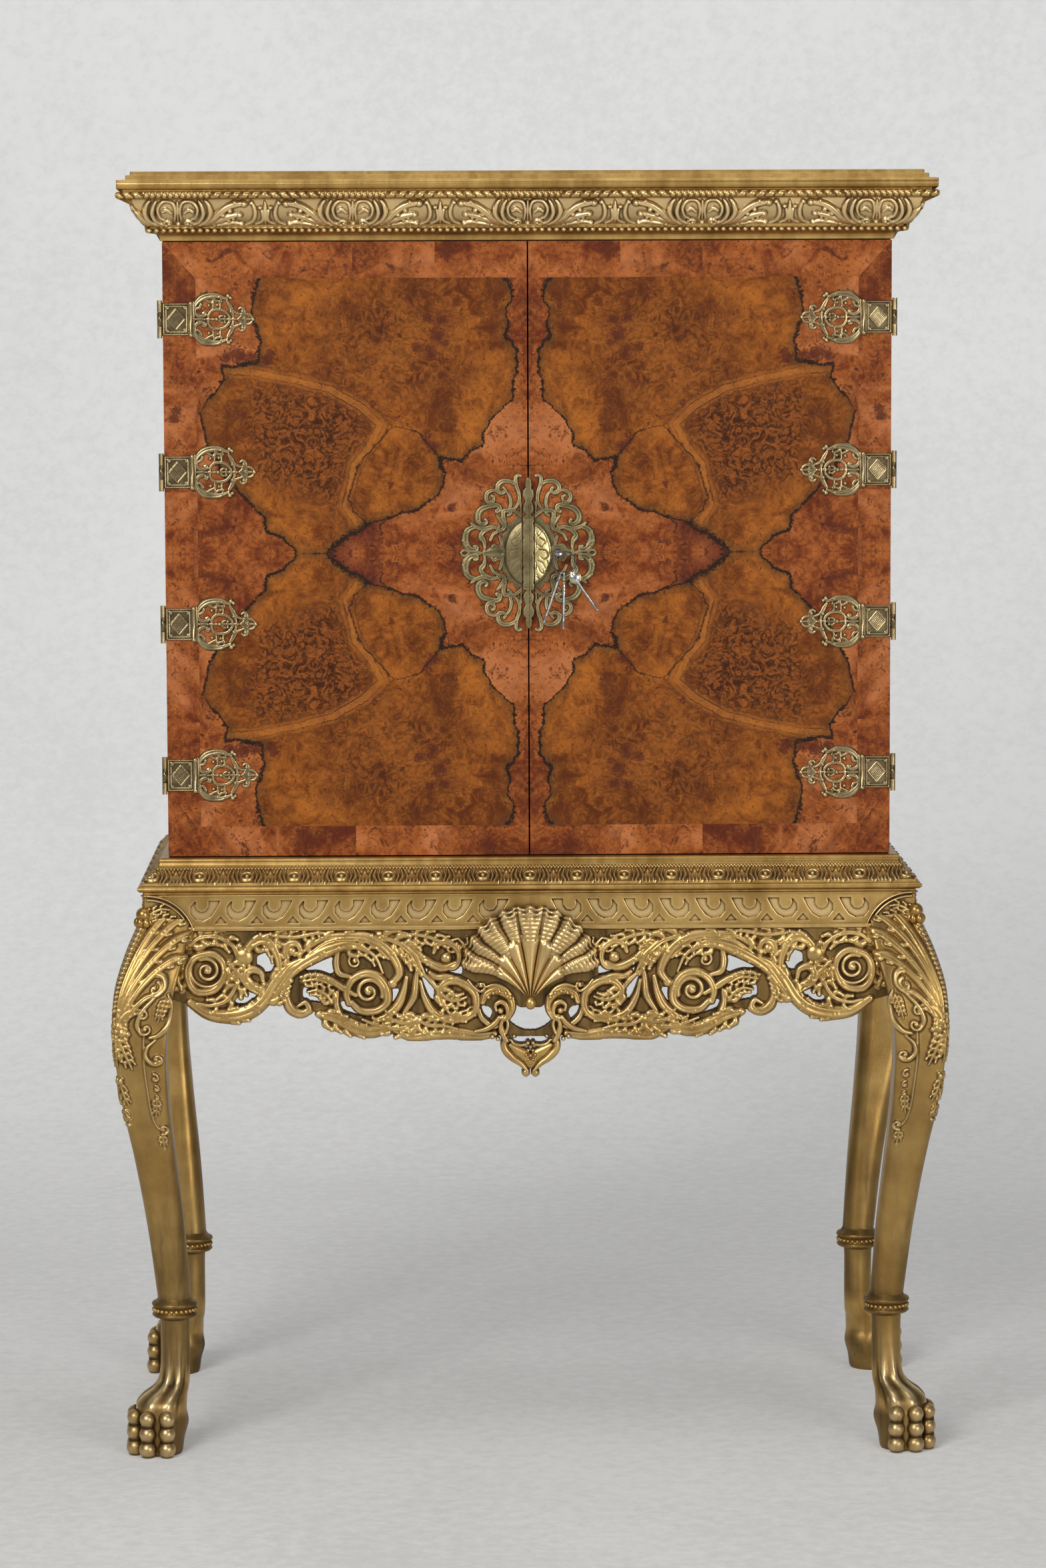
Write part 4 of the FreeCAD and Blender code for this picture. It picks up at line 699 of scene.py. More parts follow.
# The frieze: the front and side rails with a thin board glued over them and the leg posts. Lime,
# gilded flat, with a row of hooks and small triangles sunk in it and a quarter circle at each leg.
def fretwork(c, front, back, mirrored=False):
    """A carved board, open wherever its reach is below zero, as points, quads and marks."""
    level = c.reach
    rise_v, rise_u = np.gradient(level, c.step)
    steep = np.maximum(np.hypot(rise_u, rise_v), 0.2)
    inside = level > -0.55 * c.step * steep
    cell = inside[:-1, :-1] & inside[1:, :-1] & inside[:-1, 1:] & inside[1:, 1:]
    wide = len(c.u)
    row, column = np.nonzero(cell)
    start = row * wide + column
    quads = np.stack([start, start + 1, start + wide + 1, start + wide], 1)
    sides = np.concatenate([quads[:, [k, (k + 1) % 4]] for k in range(4)])
    size = level.size
    key, twin = sides[:, 0] * size + sides[:, 1], sides[:, 1] * size + sides[:, 0]
    rim = sides[~np.isin(key, twin)]
    u, v = (grid.copy().ravel() for grid in np.meshgrid(c.u, c.v))
    edge = np.unique(rim)
    flat = level.ravel()[edge]
    slope = steep.ravel()[edge]
    push = np.clip(-flat / slope, -0.9 * c.step, 0.9 * c.step)
    keep = (u[edge] > c.u[0] + 1e-6) & (v[edge] > c.v[0] + 1e-6) & (v[edge] < c.v[-1] - 1e-6)
    u[edge] += push * rise_u.ravel()[edge] / slope * keep
    v[edge] += push * rise_v.ravel()[edge] / slope * keep
    height = c.height.ravel()
    shade_and_patina, painted_highlight = (grid.ravel() for grid in c.shades())
    near = np.stack([u, front - height, v], 1)
    far = np.stack([u, np.full(size, back), v], 1)
    walls = np.stack([rim[:, 1], rim[:, 0], rim[:, 0] + size, rim[:, 1] + size], 1)
    faces = np.vstack([quads, quads[:, ::-1] + size, walls])
    used, faces = np.unique(faces, return_inverse=True)
    faces = faces.reshape(-1, 4)
    points = np.vstack([near, far])[used]
    # the back of the board and the walls of its piercings carry painted shade
    marks = {"shade_and_patina": np.concatenate([shade_and_patina, np.full(size, 0.8)])[used],
             "painted_highlight": np.concatenate([painted_highlight, np.zeros(size)])[used]}
    if not mirrored:
        return [(points, faces, marks)]
    return [(points, faces, marks), (points * (-1, 1, 1), faces[:, ::-1], marks)]


def signed_gap(x, z, line, closed=True):
    """Distance in millimetres from the line. Inside a closed one it is positive."""
    line = np.asarray(line, float)
    ends = np.roll(line, -1, axis=0) if closed else line[1:]
    starts = line if closed else line[:-1]
    nearest, inside = np.full(x.shape, 1e9), np.zeros(x.shape, bool)
    for (x0, z0), (x1, z1) in zip(starts, ends):
        dx, dz = x1 - x0, z1 - z0
        t = np.clip(((x - x0) * dx + (z - z0) * dz) / (dx * dx + dz * dz), 0, 1)
        nearest = np.minimum(nearest, np.hypot(x - x0 - t * dx, z - z0 - t * dz))
        if closed and z0 != z1:
            inside ^= ((z0 > z) != (z1 > z)) & (x < dx * (z - z0) / dz + x0)
    return np.where(inside, nearest, -nearest) if closed else nearest


def turned_to(side, points):
    """Points made for the front, turned to face another side of the cabinet."""
    x, y, z = np.moveaxis(np.asarray(points, float), -1, 0)
    return np.stack({"front": (x, y, z), "left": (y, -x, z), "right": (-y, x, z),
                     "back": (-x, -y, z)}[side], -1)


def build(name, parts, material, body, nodes=(), side="front"):
    """One object from parts in millimetres, riding on a body in place of its nodes."""
    points, faces, marks = joined(parts)
    made = make_mesh(name, turned_to(side, points) * mm, faces, material, marks)
    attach(made, body)
    if nodes:
        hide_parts(*nodes)
    return made


rail_top = rail_high.z / mm
rail_thick, recess, unpierced = 24.0, 2.2, 9.0
frieze_half = post_mid + post_half
frieze_front = -(post_mid_y + post_half)
frieze = Carving(0, frieze_half - 0.2, frieze_low, rail_top, 0.7)
grid_u, grid_v = np.meshgrid(frieze.u, frieze.v)
arc_u = frieze_half - arc_inset
from_corner = np.hypot(arc_u - grid_u, grid_v - arc_height)
frieze.height[:] = np.clip(from_corner - arc_reach, 0, 1) * recess
frieze.reach[:] = unpierced
for radius, lift in ((60.8, 4.6), (55.6, 2.8)):
    turn = np.radians(np.linspace(0, 74, 20))
    frieze.stroke(np.stack([arc_u - radius * np.sin(turn), arc_height + radius * np.cos(turn)], 1),
                  [1.7], [lift])
frieze.stroke([(0, frieze_low + 3), (436, frieze_low + 3)], [3.2], [3.8], flat=0.5)
frieze.leaf([(492, 702), (482, 708), (472, 712), (462, 711)], 6.5, 4.0, 3)
frieze.leaf([(490, 694), (476, 698), (462, 698), (450, 692)], 8.0, 4.0, 4)
frieze.leaf([(470, 684), (458, 686), (446, 684), (438, 684)], 6.0, 3.4, 3)
frieze.stroke([(0, rail_top - 1), (frieze_half, rail_top - 1)], [1.5], [3.0])
hook = [(-8.7, 6.5), (-14.8, -1.1), (-14.8, -9.8), (-8.7, -17.4), (2.2, -19.0), (10.9, -14.2),
        (17.4, -5.5), (24.0, 7.2), (8.7, 7.2), (8.3, -1.1), (4.4, -6.5), (-1.1, -7.6), (-6.1, -5.0),
        (-8.3, 0.0), (-7.2, 5.5)]
gusset = [(24.0, -13.1), (15.3, -22.9), (32.7, -22.9)]
hook_count, hook_pitch, last_eye, eye_v = 9, 46.2, 420.6, frieze_low + 32.6
for number in range(hook_count):
    eye_u = last_eye - hook_pitch * number
    for shape in (hook, gusset):
        inside = signed_gap(grid_u, grid_v, [(eye_u - a, eye_v + b) for a, b in shape])
        frieze.height -= recess * np.clip(inside / 0.9, 0, 1)
        frieze.tint = frieze.tint + 0.5 * (inside > 0.6)
frieze.tint = frieze.tint - 0.10
build("frieze_front", fretwork(frieze, frieze_front, frieze_front + rail_thick, mirrored=True),
      carved_gilt, root_body, ["frieze_rail_front"])
side_shift = frieze_half - (post_mid_y + post_half)
side_frieze = Carving(0, post_mid_y + post_half - 0.2, frieze_low, rail_top, 0.7)
side_frieze.reach[:] = unpierced
on_front = np.meshgrid(side_frieze.u + side_shift, side_frieze.v)
side_frieze.height = frieze.read(frieze.height, *on_front)
side_frieze.tint = frieze.read(frieze.tint, *on_front)
for side in ("left", "right"):
    board = fretwork(side_frieze, -frieze_half, rail_thick - frieze_half, mirrored=True)
    build("frieze_" + side, board, carved_gilt, root_body, ["frieze_rail_" + side], side=side)

# The aprons: three boards of lime, pierced and carved with acanthus scrolls that run in from a
# roundel at each leg. The front one follows the photograph, the side ones follow its outer part.
apron_thick, apron_step = 16.0, 0.85
line_widening, leaf_widening, leaf_lift = 1.22, 1.25, 1.3
apron_lines = [
    ((3.5, 5.6, 4.2), 5.0, [(393, 629), (394, 643), (405, 653), (419, 653), (433, 647), (440, 633),
                            (437, 615), (427, 605), (411, 605), (399, 613), (393, 627)]),
    ((4.9, 9.1, 7.7, 3.5), 5.2, [(437, 591), (413, 576), (385, 573), (361, 579), (343, 593),
                                 (327, 618), (311, 636), (294, 646)]),
    ((2.8, 5.2, 6.3, 2.8), 4.6, [(343, 618), (346, 629), (357, 633), (365, 627), (362, 615),
                                 (348, 608), (343, 593)]),
    ((5.6, 7.7, 4.9, 2.1), 4.8, [(362, 661), (351, 671), (337, 670), (327, 657), (322, 639),
                                 (325, 618), (336, 597)]),
    ((3.5, 6.3, 4.2, 2.8), 4.8, [(311, 643), (314, 657), (309, 666), (299, 666), (295, 657),
                                 (302, 652)]),
    ((2.8, 4.9, 7.0, 8.4, 6.3, 3.5), 5.4, [(334, 590), (320, 611), (301, 634), (276, 650),
                                           (251, 661), (227, 665), (208, 656)]),
    ((2.8, 4.9, 6.3, 7.0, 5.6, 4.2), 5.2, [(286, 660), (265, 673), (237, 676), (209, 674),
                                           (188, 663), (173, 645), (168, 628), (177, 614)]),
    ((3.5, 6.3, 4.9, 2.1), 4.6, [(311, 613), (313, 597), (308, 583), (296, 576), (285, 581),
                                 (289, 590), (298, 586)]),
    ((2.1, 4.2, 4.9, 2.8), 4.4, [(295, 623), (276, 626), (255, 618), (238, 607), (224, 599)]),
    ((4.2, 5.6, 5.6, 4.2), 5.4, [(233, 589), (236, 603), (229, 619), (213, 627), (196, 623),
                                 (185, 607), (185, 589), (198, 579), (217, 579), (229, 589)]),
    ((2.8, 4.5, 4.2, 2.8), 4.6, [(246, 660), (249, 642), (245, 628), (231, 623)]),
    ((3.5, 7.0, 9.1, 7.7, 3.5), 5.0, [(273, 575), (256, 572), (238, 563), (217, 554), (196, 553),
                                      (177, 558)]),
    ((2.8, 4.9, 4.2), 4.6, [(248, 603), (249, 586), (242, 570), (228, 561)]),
    ((2.8, 4.9, 6.3, 3.5), 4.8, [(159, 622), (163, 603), (171, 585), (186, 571), (200, 566)]),
    ((2.1, 4.2, 4.9, 2.8), 4.8, [(145, 638), (147, 617), (150, 596), (163, 575)]),
    ((2.1, 4.2, 5.6, 6.3, 4.2), 5.0, [(141, 617), (136, 596), (124, 576), (105, 567), (82, 569)]),
    ((3.5, 5.6, 6.3, 4.9, 3.5), 5.2, [(115, 589), (117, 606), (105, 617), (87, 615), (71, 601),
                                      (70, 581), (82, 569), (101, 574)]),
    ((2.8, 4.9, 5.6, 3.5), 4.8, [(169, 668), (150, 657), (131, 642), (112, 634), (96, 640)]),
    ((2.8, 4.9, 4.2, 2.8), 5.0, [(124, 654), (120, 663), (108, 668), (94, 659), (91, 645),
                                 (99, 634), (115, 636)]),
    ((3.5, 6.3, 7.0, 4.2), 4.8, [(175, 554), (154, 545), (126, 548), (98, 549), (70, 546),
                                 (46, 548)]),
    ((2.1, 3.5, 2.8), 4.4, [(140, 628), (127, 617), (117, 603)]),
    ((2.8, 4.9, 3.5), 4.6, [(129, 628), (120, 622), (105, 622), (87, 617)]),
    ((2.8, 4.2, 2.8), 4.6, [(68, 588), (63, 570), (49, 558), (38, 560)]),
    ((2.1, 3.5, 2.1), 4.0, [(402, 675), (381, 664), (372, 647)]),
    ((2.4, 4.9, 4.2), 4.4, [(451, 619), (456, 637), (451, 654), (440, 667)])]
apron_leaves = [
    (10.5, 4.2, [(437, 665), (423, 675), (402, 676), (384, 666), (376, 650)]),
    (9.8, 4.2, [(376, 633), (378, 613), (390, 594), (410, 587), (427, 590)]),
    (9.1, 4.0, [(448, 608), (454, 626), (453, 644), (447, 661)]),
    (10.5, 4.6, [(343, 590), (325, 615), (308, 636), (287, 648), (258, 658)]),
    (10.5, 4.8, [(287, 650), (262, 667), (234, 672), (206, 667), (182, 646)]),
    (8.4, 4.4, [(356, 664), (339, 668), (327, 653), (323, 632)]),
    (7.7, 4.2, [(389, 573), (368, 576), (348, 590), (336, 608)]),
    (9.1, 4.6, [(266, 572), (245, 564), (221, 554), (193, 555)]),
    (9.1, 4.8, [(145, 567), (161, 563), (179, 568), (193, 571)]),
    (9.1, 4.8, [(145, 567), (130, 560), (112, 559), (94, 555)]),
    (8.4, 4.6, [(164, 667), (147, 649), (136, 628)]),
    (8.4, 4.4, [(237, 660), (216, 660), (199, 649), (189, 628)]),
    (7.0, 4.2, [(112, 585), (98, 571), (80, 574), (68, 588)]),
    (6.3, 4.0, [(329, 590), (318, 604), (311, 618)]),
    (12.0, 4.6, [(192, 674), (168, 666), (150, 648), (140, 624)]),
    (8.0, 4.2, [(150, 678), (130, 674), (112, 668), (92, 672)]),
    (8.0, 4.0, [(330, 677), (302, 675), (272, 680), (246, 678)]),
    (9.0, 4.2, [(386, 640), (374, 628), (364, 612), (350, 602)]),
    (8.5, 4.2, [(118, 604), (106, 594), (94, 592), (82, 596)]),
    (8.0, 4.2, [(86, 640), (82, 650), (84, 662), (92, 672)]),
    (9.0, 4.4, [(146, 562), (170, 556), (196, 560), (216, 568)]),
    (7.5, 4.2, [(255, 590), (262, 600), (274, 606), (286, 604)]),
    (6.3, 4.4, [(292, 618), (273, 620), (255, 612)])]
apron_buds = [
    (367, 650, 12.6, 6.5), (373, 664, 4.9, 4.5), (361, 638, 4.2, 4.0), (306, 657, 7, 5.5),
    (177, 614, 7, 5.5), (285, 580, 6.3, 5), (271, 575, 5.6, 5), (145, 567, 7, 6),
    (145, 554, 4.2, 5), (161, 546, 3.1, 4), (154, 543, 3.1, 4), (146, 541, 3.1, 4),
    (138, 541, 3.1, 4), (131, 543, 3.1, 4), (108, 647, 7.7, 6), (119, 636, 3.5, 4.5),
    (98, 659, 3.5, 4.5), (124, 624, 4.9, 4.5), (65, 611, 5.6, 5), (94, 597, 4.9, 5),
    (98, 583, 4.2, 5), (84, 588, 3.5, 4.5), (458, 619, 3.1, 3.5), (308, 618, 3.5, 4.5),
    (384, 603, 3.1, 4),
    (395, 590, 3.5, 4), (357, 573, 3.1, 4)]


def open_parts(node, c, side):
    """A level over the carving's grid: above zero where the node's own board has wood."""
    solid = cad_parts[node]
    spin = {"front": 0, "left": 90, "right": -90}[side]
    turn = Matrix.Rotation(math.radians(spin), 4, "Z") @ solid.matrix_world
    tree = BVHTree.FromPolygons([turn @ v.co for v in solid.data.vertices],
                                [p.vertices for p in solid.data.polygons])
    wood = np.array([[tree.ray_cast((u * mm, -1, v * mm), (0, 1, 0))[0] is not None
                      for u in c.u] for v in c.v], float)
    return (c.blurred(1, wood) - 0.5) / 0.35 * c.step


front_low, front_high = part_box("apron_front")
apron = Carving(0, front_high.x / mm, front_low.z / mm - 5, front_high.z / mm, apron_step)
for widths, lift, points in apron_lines:
    apron.stroke(points, [w * line_widening for w in widths],
                 [lift * 0.95, lift * 1.35, lift * 1.05], groove=0.12)
for width, lift, points in apron_leaves:
    apron.leaf(points, width * leaf_widening, lift * leaf_lift)
for u, v, radius, lift in apron_buds:
    apron.dome(u, v, radius, lift)
roundel_u, roundel_v, roundel_rim = 415, 632, 20.5
apron.scroll(roundel_u, roundel_v, 17, 1.5, 60, 1, 3.4, 5.0)
apron.stroke([(roundel_u + roundel_rim * math.cos(a), roundel_v + roundel_rim * math.sin(a))
              for a in np.linspace(0, 2 * math.pi, 24)], [2.4], [5.2])
apron.scroll(208, 604, 19, 1.5, 200, -1, 4.0, 5.6)
apron.scroll(225, 643, 9.5, 1.3, 90, -1, 2.6, 4.8)
apron.scroll(101, 662, 8, 1.1, 250, 1, 2.4, 4.6)
apron.soften()
# painted shade over the low ground between the carving
apron.ground = 0.75
apron.reach = np.maximum(open_parts("apron_front", apron, "front"), np.minimum(apron.reach, 1))
apron.reach = np.minimum(apron.reach, 2)
carved = fretwork(apron, frieze_front, frieze_front + apron_thick, mirrored=True)
build("pierced_apron_front", carved, carved_gilt, root_body, ["apron_front"])
side_low, side_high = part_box("apron_right")
for side in ("left", "right"):
    board = Carving(0, side_high.y / mm, side_low.z / mm, side_high.z / mm, apron_step)
    board.height = apron.read(apron.height, *np.meshgrid(board.u + side_shift, board.v))
    board.reach = open_parts("apron_" + side, board, side)
    board.ground = apron.ground
    carved = fretwork(board, -frieze_half, apron_thick - frieze_half, mirrored=True)
    build("pierced_apron_" + side, carved, carved_gilt, root_body, ["apron_" + side], side=side)

# The shell at the middle of the front apron, carved from its own block and glued on, with the two
# scrolls it rests on. Its ribs bend outwards and open into wide and narrow flutes with a frilled
# rim. It is drawn by its share across the fan, -1 to 1, and its share out from the hinge.
hinge_z = 590.0
shell_front, shell_dish, shell_tall = 258.0, 5.5, 125.0
fan_columns, fan_rows = 300, 150
share_a, share_r = np.meshgrid(np.linspace(-1, 1, fan_columns), np.linspace(0.015, 1, fan_rows))
bend = 0.60 + 0.40 * np.clip(share_r / 0.85, 0, 1) ** 1.3
turn = np.radians(90 - 63 * share_a * bend)
frill = np.sin(share_a * 7.5 * 2 * math.pi + math.pi / 2)
rim = shell_tall - 27 * share_a ** 2 + 1.6 * frill
ribs = np.zeros_like(share_a)
for place, end in ((0, 0.70), (0.31, 0.69), (0.60, 0.63), (0.88, 0.57)):
    for hand in (-1, 1):
        away = (share_a - hand * place) / 0.150
        tip = np.clip((end - share_r) / 0.07, 0, 1) ** 0.5
        ribs = np.maximum(ribs, 6.2 * np.sqrt(np.clip(1 - away ** 2, 0, 1)) * tip
                          * np.clip(share_r * 7, 0, 1))
flutes = np.zeros_like(share_a)
for place, half, lift in ((0, 0.125, 6.2), (0.235, 0.085, 3.0), (0.46, 0.125, 6.2),
                          (0.68, 0.075, 3.0), (0.88, 0.110, 5.8)):
    for hand in (-1, 1):
        away = (share_a - hand * place) / half
        flutes = np.maximum(flutes, lift * np.sqrt(np.clip(1 - away ** 2, 0, 1)))
growth = 0.30 * np.sin(share_r * rim / 5.6 * 2 * math.pi)
opened = np.clip((share_r - 0.46) / 0.16, 0, 1)
flutes = (flutes + growth * (flutes > 0.4)) * opened
lip = (2.4 * np.exp(-((share_r - 0.980) / 0.014) ** 2)
       + 1.6 * np.exp(-((share_r - 0.930) / 0.014) ** 2))
ripple = 1.9 * frill * np.clip((share_r - 0.75) / 0.25, 0, 1)
lift = np.maximum(ribs, flutes) + lip + ripple
depth = -(shell_front + shell_dish * share_r ** 2 + lift)
shell_points = np.stack([share_r * rim * np.cos(turn), depth,
                         hinge_z + share_r * rim * np.sin(turn)], -1)
relief = Carving(0, fan_columns - 1, 0, fan_rows - 1, 1)
relief.height = lift
# painted shade and highlight from the relief, and more painted shade over the low ground between
# ribs and flutes, stronger in the inner part of the fan
shell_hollow, shell_proud = relief.shades(1.6)
shell_hollow = np.maximum(shell_hollow, np.clip(1 - np.maximum(ribs, flutes) / 1.6, 0, 1)
                          * np.clip((share_r - 0.3) * 4, 0, 1)
                          * np.where(share_r < 0.62, 0.95, 0.55))
shell_back = shell_points.copy()
shell_back[..., 1] = frieze_front - 3.2
size = fan_columns * fan_rows
number_of = np.arange(size).reshape(fan_rows, fan_columns)
ring = np.concatenate([number_of[0], number_of[1:, -1], number_of[-1, -2::-1],
                       number_of[-2:0:-1, 0]])
following = np.roll(ring, -1)
sheet = grid_faces(fan_rows, fan_columns)[:, ::-1]
walls = np.stack([ring, following, following + size, ring + size], 1)
# the back gets painted shade, and the front a little painted highlight all over besides its own
fan = (np.vstack([shell_points.reshape(-1, 3), shell_back.reshape(-1, 3)]),
       np.vstack([sheet, sheet[:, ::-1] + size, walls]),
       {"shade_and_patina": np.concatenate([shell_hollow.ravel(), np.full(size, 0.7)]),
        "painted_highlight": np.concatenate([np.minimum(shell_proud.ravel() + 0.22, 1), np.zeros(size)])})
scrolls = Carving(0, 92, 536, 628, 0.6)
for widths, lift, points in (
        ((2.3, 4.3, 3.6), 4.5, [(35, 569), (38, 559), (35, 547), (31, 540)]),
        ((2.0, 2.6, 2.0), 4.0, [(31, 569), (29, 560), (32, 549)]),
        ((2.3, 3.6, 4.3, 3.3), 4.2, [(71, 552), (57, 555), (46, 562), (40, 570)]),
        ((2.0, 3.6, 3.6, 2.3), 4.6, [(44, 579), (45, 586), (39, 590), (32, 587), (29, 578),
                                     (32, 570), (39, 569)]),
        ((4.3, 6.5, 5.6, 2.9), 4.4, [(61, 590), (57, 600), (46, 605), (33, 602), (24, 592),
                                     (23, 580), (28, 569)]),
        ((1.6, 2.3, 1.3), 4.2, [(80, 619), (72, 609), (64, 604), (59, 608), (60, 614), (65, 614)]),
        ((1.6, 3.6, 3.6), 4.0, [(59, 609), (46, 612), (33, 607), (23, 595)])):
    scrolls.stroke(points, widths, [lift], groove=0.12)
for u, v, radius, lift in ((38.5, 578.6, 4.3, 5.5), (49, 545, 3.3, 4.4), (42, 542, 2.9, 4.6),
                           (63.5, 611.6, 3.6, 5.0), (35, 569, 5.6, 5.0)):
    scrolls.dome(u, v, radius, lift)
for number in range(5):
    angle = math.radians(35 + 28 * number)
    scrolls.dome(40 + 17 * math.cos(angle), 587 + 17 * math.sin(angle), 3.6, 6.2)
build("shell_carving", [fan, globe((0, -262, hinge_z - 1), 5.5, (1.3, 1, 1.5), 12, 18)]
      + fretwork(scrolls, frieze_front - 5, frieze_front, mirrored=True), carved_gilt, root_body,
      ["shell"])

# The drop under the shell: a small leafy cup with a bunch of berries in it, of carved and gilded
# lime like the shell, set against the lower edge of the apron.
drop = Carving(0, 40, 490, 548, 0.55)
for widths, lift, points in (
        ((2.9, 4.9, 5.6, 4.3, 2.6), 5.5, [(30, 544), (34, 537), (32, 527), (23, 517), (12, 509),
                                          (4, 500)]),
        ((3.3, 7.2, 8.2, 4.9), 4.4, [(26, 533), (16, 525), (7, 519), (0, 507)]),
        ((1.3, 2.6, 2.3), 4.0, [(33, 539), (26, 540), (21, 535), (13, 533), (5, 534)])):
    drop.stroke(points, widths, [lift])
for u, v, radius, lift in ((6, 497.5, 5.4, 5.0), (0, 520, 3.3, 7.5), (5.8, 521, 2.8, 7),
                           (3.3, 515, 2.8, 7), (0, 510, 2.6, 6.4), (6.6, 514, 2.1, 6),
                           (3, 526.5, 2.6, 6.8), (0, 531, 2.9, 6.6), (3.3, 536, 3.3, 6),
                           (21, 545, 3.0, 5.2)):
    drop.dome(u, v, radius, lift)
carved = fretwork(drop, frieze_front, frieze_front + apron_thick, mirrored=True)
build("drop_carving", carved, carved_gilt, root_body, ["pendant"])


# The moulding on top of the stand, in four mitred lengths of carved and gilded lime: two rows of
# beads over a band of ringed roundels, crescents and leaves, and a plain round below. The case
# stands inside its top edge.
def drawn_profile(steps, across, tall, fine, carved):
    """A moulding's outline: places, outward directions and the distance along it."""
    line, corner_at = [np.array(steps[0], float) * (across, tall)], [0.0]
    for step in steps[1:]:
        start, end = line[-1], np.array(step[-2:], float) * (across, tall)
        middle = (start + end) / 2 if len(step) == 2 else np.array(step[:2]) * (across, tall)
        reach = np.linalg.norm(end - start) * (1.0 if len(step) == 2 else 1.12)
        held = corner_at[-1]
        near = carved[0] - 1 <= held + reach / 2 <= carved[1] + 1
        count = max(2 if len(step) == 4 else 1, int(reach / (fine if near else 6)))
        if len(step) == 4:
            count = max(count, 6)
        for t in np.arange(1, count + 1) / count:
            control = 2 * middle - (start + end) / 2
            point = start * (1 - t) ** 2 + control * 2 * t * (1 - t) + end * t ** 2
            line.append(point)
        corner_at.append(held + np.linalg.norm(np.diff(np.array(line[-count - 1:]), axis=0),
                                               axis=1).sum())
    line = np.array(line)
    ahead = np.gradient(line, axis=0)
    ahead /= np.linalg.norm(ahead, axis=1)[:, None] + 1e-9
    along = np.concatenate([[0], np.cumsum(np.linalg.norm(np.diff(line, axis=0), axis=1))])
    return line, ahead, along


def moulding_run(profile, base, ends, level, carve, darkened, painted_sheen, period, hand, fine):
    """One length of moulding. The carving repeats along it, mirrored about each motif.

    ends gives for each end its place at the base line and how far it runs out with the mitre.
    darkened lists the zones along the profile whose low ground gets painted shade, and how much;
    the sheen value after it is painted highlight laid over all of those zones.
    """
    line, ahead, along = profile
    normal = np.stack([ahead[:, 1], -ahead[:, 0]], 1) * hand
    start, end = (value[0] + value[1] * line[:, 0] for value in ends)
    rows = max(2, int((end - start).max() / fine))
    share = np.linspace(0, 1, rows)[:, None]
    place = start * (1 - share) + end * share
    motif = np.abs((place + period / 2) % period - period / 2)
    spread = np.broadcast_to(along, place.shape)
    lift = carve.read(carve.height, motif, spread)
    hollow_sheet, proud_sheet = carve.shades(1.8)
    for low, high, depth in darkened:
        zone = ((carve.v > low) & (carve.v < high))[:, None]
        low_ground_shade = np.clip(1 - carve.height / 1.4, 0, 1) * depth
        hollow_sheet = np.where(zone, np.maximum(hollow_sheet, low_ground_shade), hollow_sheet)
        proud_sheet = np.where(zone, np.minimum(proud_sheet + painted_sheen, 1), proud_sheet)
    out = line[:, 0] + normal[:, 0] * lift
    up = line[:, 1] + normal[:, 1] * lift
    points = np.stack([place, -(base + out), level + up], -1)
    cap = points[[0, -1]].mean(1, keepdims=True) + np.zeros((2, points.shape[1], 3))
    points = np.concatenate([cap[:1], points, cap[1:]])
    marks = {}
    for key, grid in (("shade_and_patina", hollow_sheet), ("painted_highlight", proud_sheet)):
        value = carve.read(grid, motif, spread)
        marks[key] = np.concatenate([value[:1], value, value[-1:]])
    faces = grid_faces(len(points), points.shape[1], True)
    return [(points, faces if hand < 0 else faces[:, ::-1], marks)]


case_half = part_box("case_side_right")[1].x / mm
case_front = 220.0
stand_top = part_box("case_side_right")[0].z / mm
band_steps = [(-0.9, 0), (0.20, 0), (0.29, -0.06, 0.26, -0.125), (0.28, -0.15), (0.31, -0.215),
              (0.41, -0.28, 0.33, -0.345), (0.36, -0.355), (0.54, -0.52, 0.80, -0.655),
              (0.86, -0.67), (0.86, -0.72), (0.90, -0.735), (1.0, -0.825, 0.90, -0.915),
              (0.80, -0.93, 0.79, -1.0), (-0.9, -1.0)]
band_across, band_tall = 38.5, 45.0
band_profile = drawn_profile(band_steps, band_across, band_tall, 0.9, (48, 84))


def along_at(profile, height):
    """How far along the outline its front first comes to a height."""
    line, _, along = profile
    index = np.nonzero((line[:-1, 1] - height) * (line[1:, 1] - height) <= 0)[0]
    return along[index[np.argmax(line[index, 0])]]


bead_at = along_at(band_profile, -0.28 * band_tall)
leaf_low = along_at(band_profile, -0.65 * band_tall)
leaf_high = along_at(band_profile, -0.37 * band_tall)
leaf_mid = (leaf_low + leaf_high) / 2
band_carving = Carving(-1, 31, 30, band_profile[2][-1], 0.42)
cut = (np.abs(band_carving.v - bead_at) < 2.6)[:, None]
band_carving.height -= 0.9 * cut
for number in range(8):
    band_carving.dome(2.15 + 4.3 * number, bead_at + 1.3, 1.9, 2.4, -0.9)
    band_carving.dome(4.3 * number, bead_at - 1.9, 1.7, 1.8, -0.9)
band_carving.dome(0, leaf_mid, 2.8, 4.6)
band_carving.stroke([(7.2 * math.sin(a), leaf_mid + 6.6 * math.cos(a)) for a in
                     np.linspace(0, math.pi, 14)], [2.3], [3.4])
for widths, points in (
        ((1.0, 1.7, 1.0), [(10.5, leaf_low), (12.8, leaf_mid), (10.5, leaf_high)]),
        ((1.3, 2.6, 1.3), [(15, leaf_low), (18.4, leaf_mid), (16.5, leaf_high)]),
        ((1.4, 2.5, 1.6), [(23.4, leaf_low), (24.2, leaf_mid), (21, leaf_high)]),
        ((1.4, 2.5, 1.6), [(28, leaf_low), (28, leaf_mid), (31, leaf_high)])):
    band_carving.stroke(points, widths, [2.6, 3.4, 2.6])
band_carving.dome(20.4, leaf_low + 2.2, 2.0, 3.0)
band_period, front_fine, rest_fine = 60.5, 0.8, 1.5
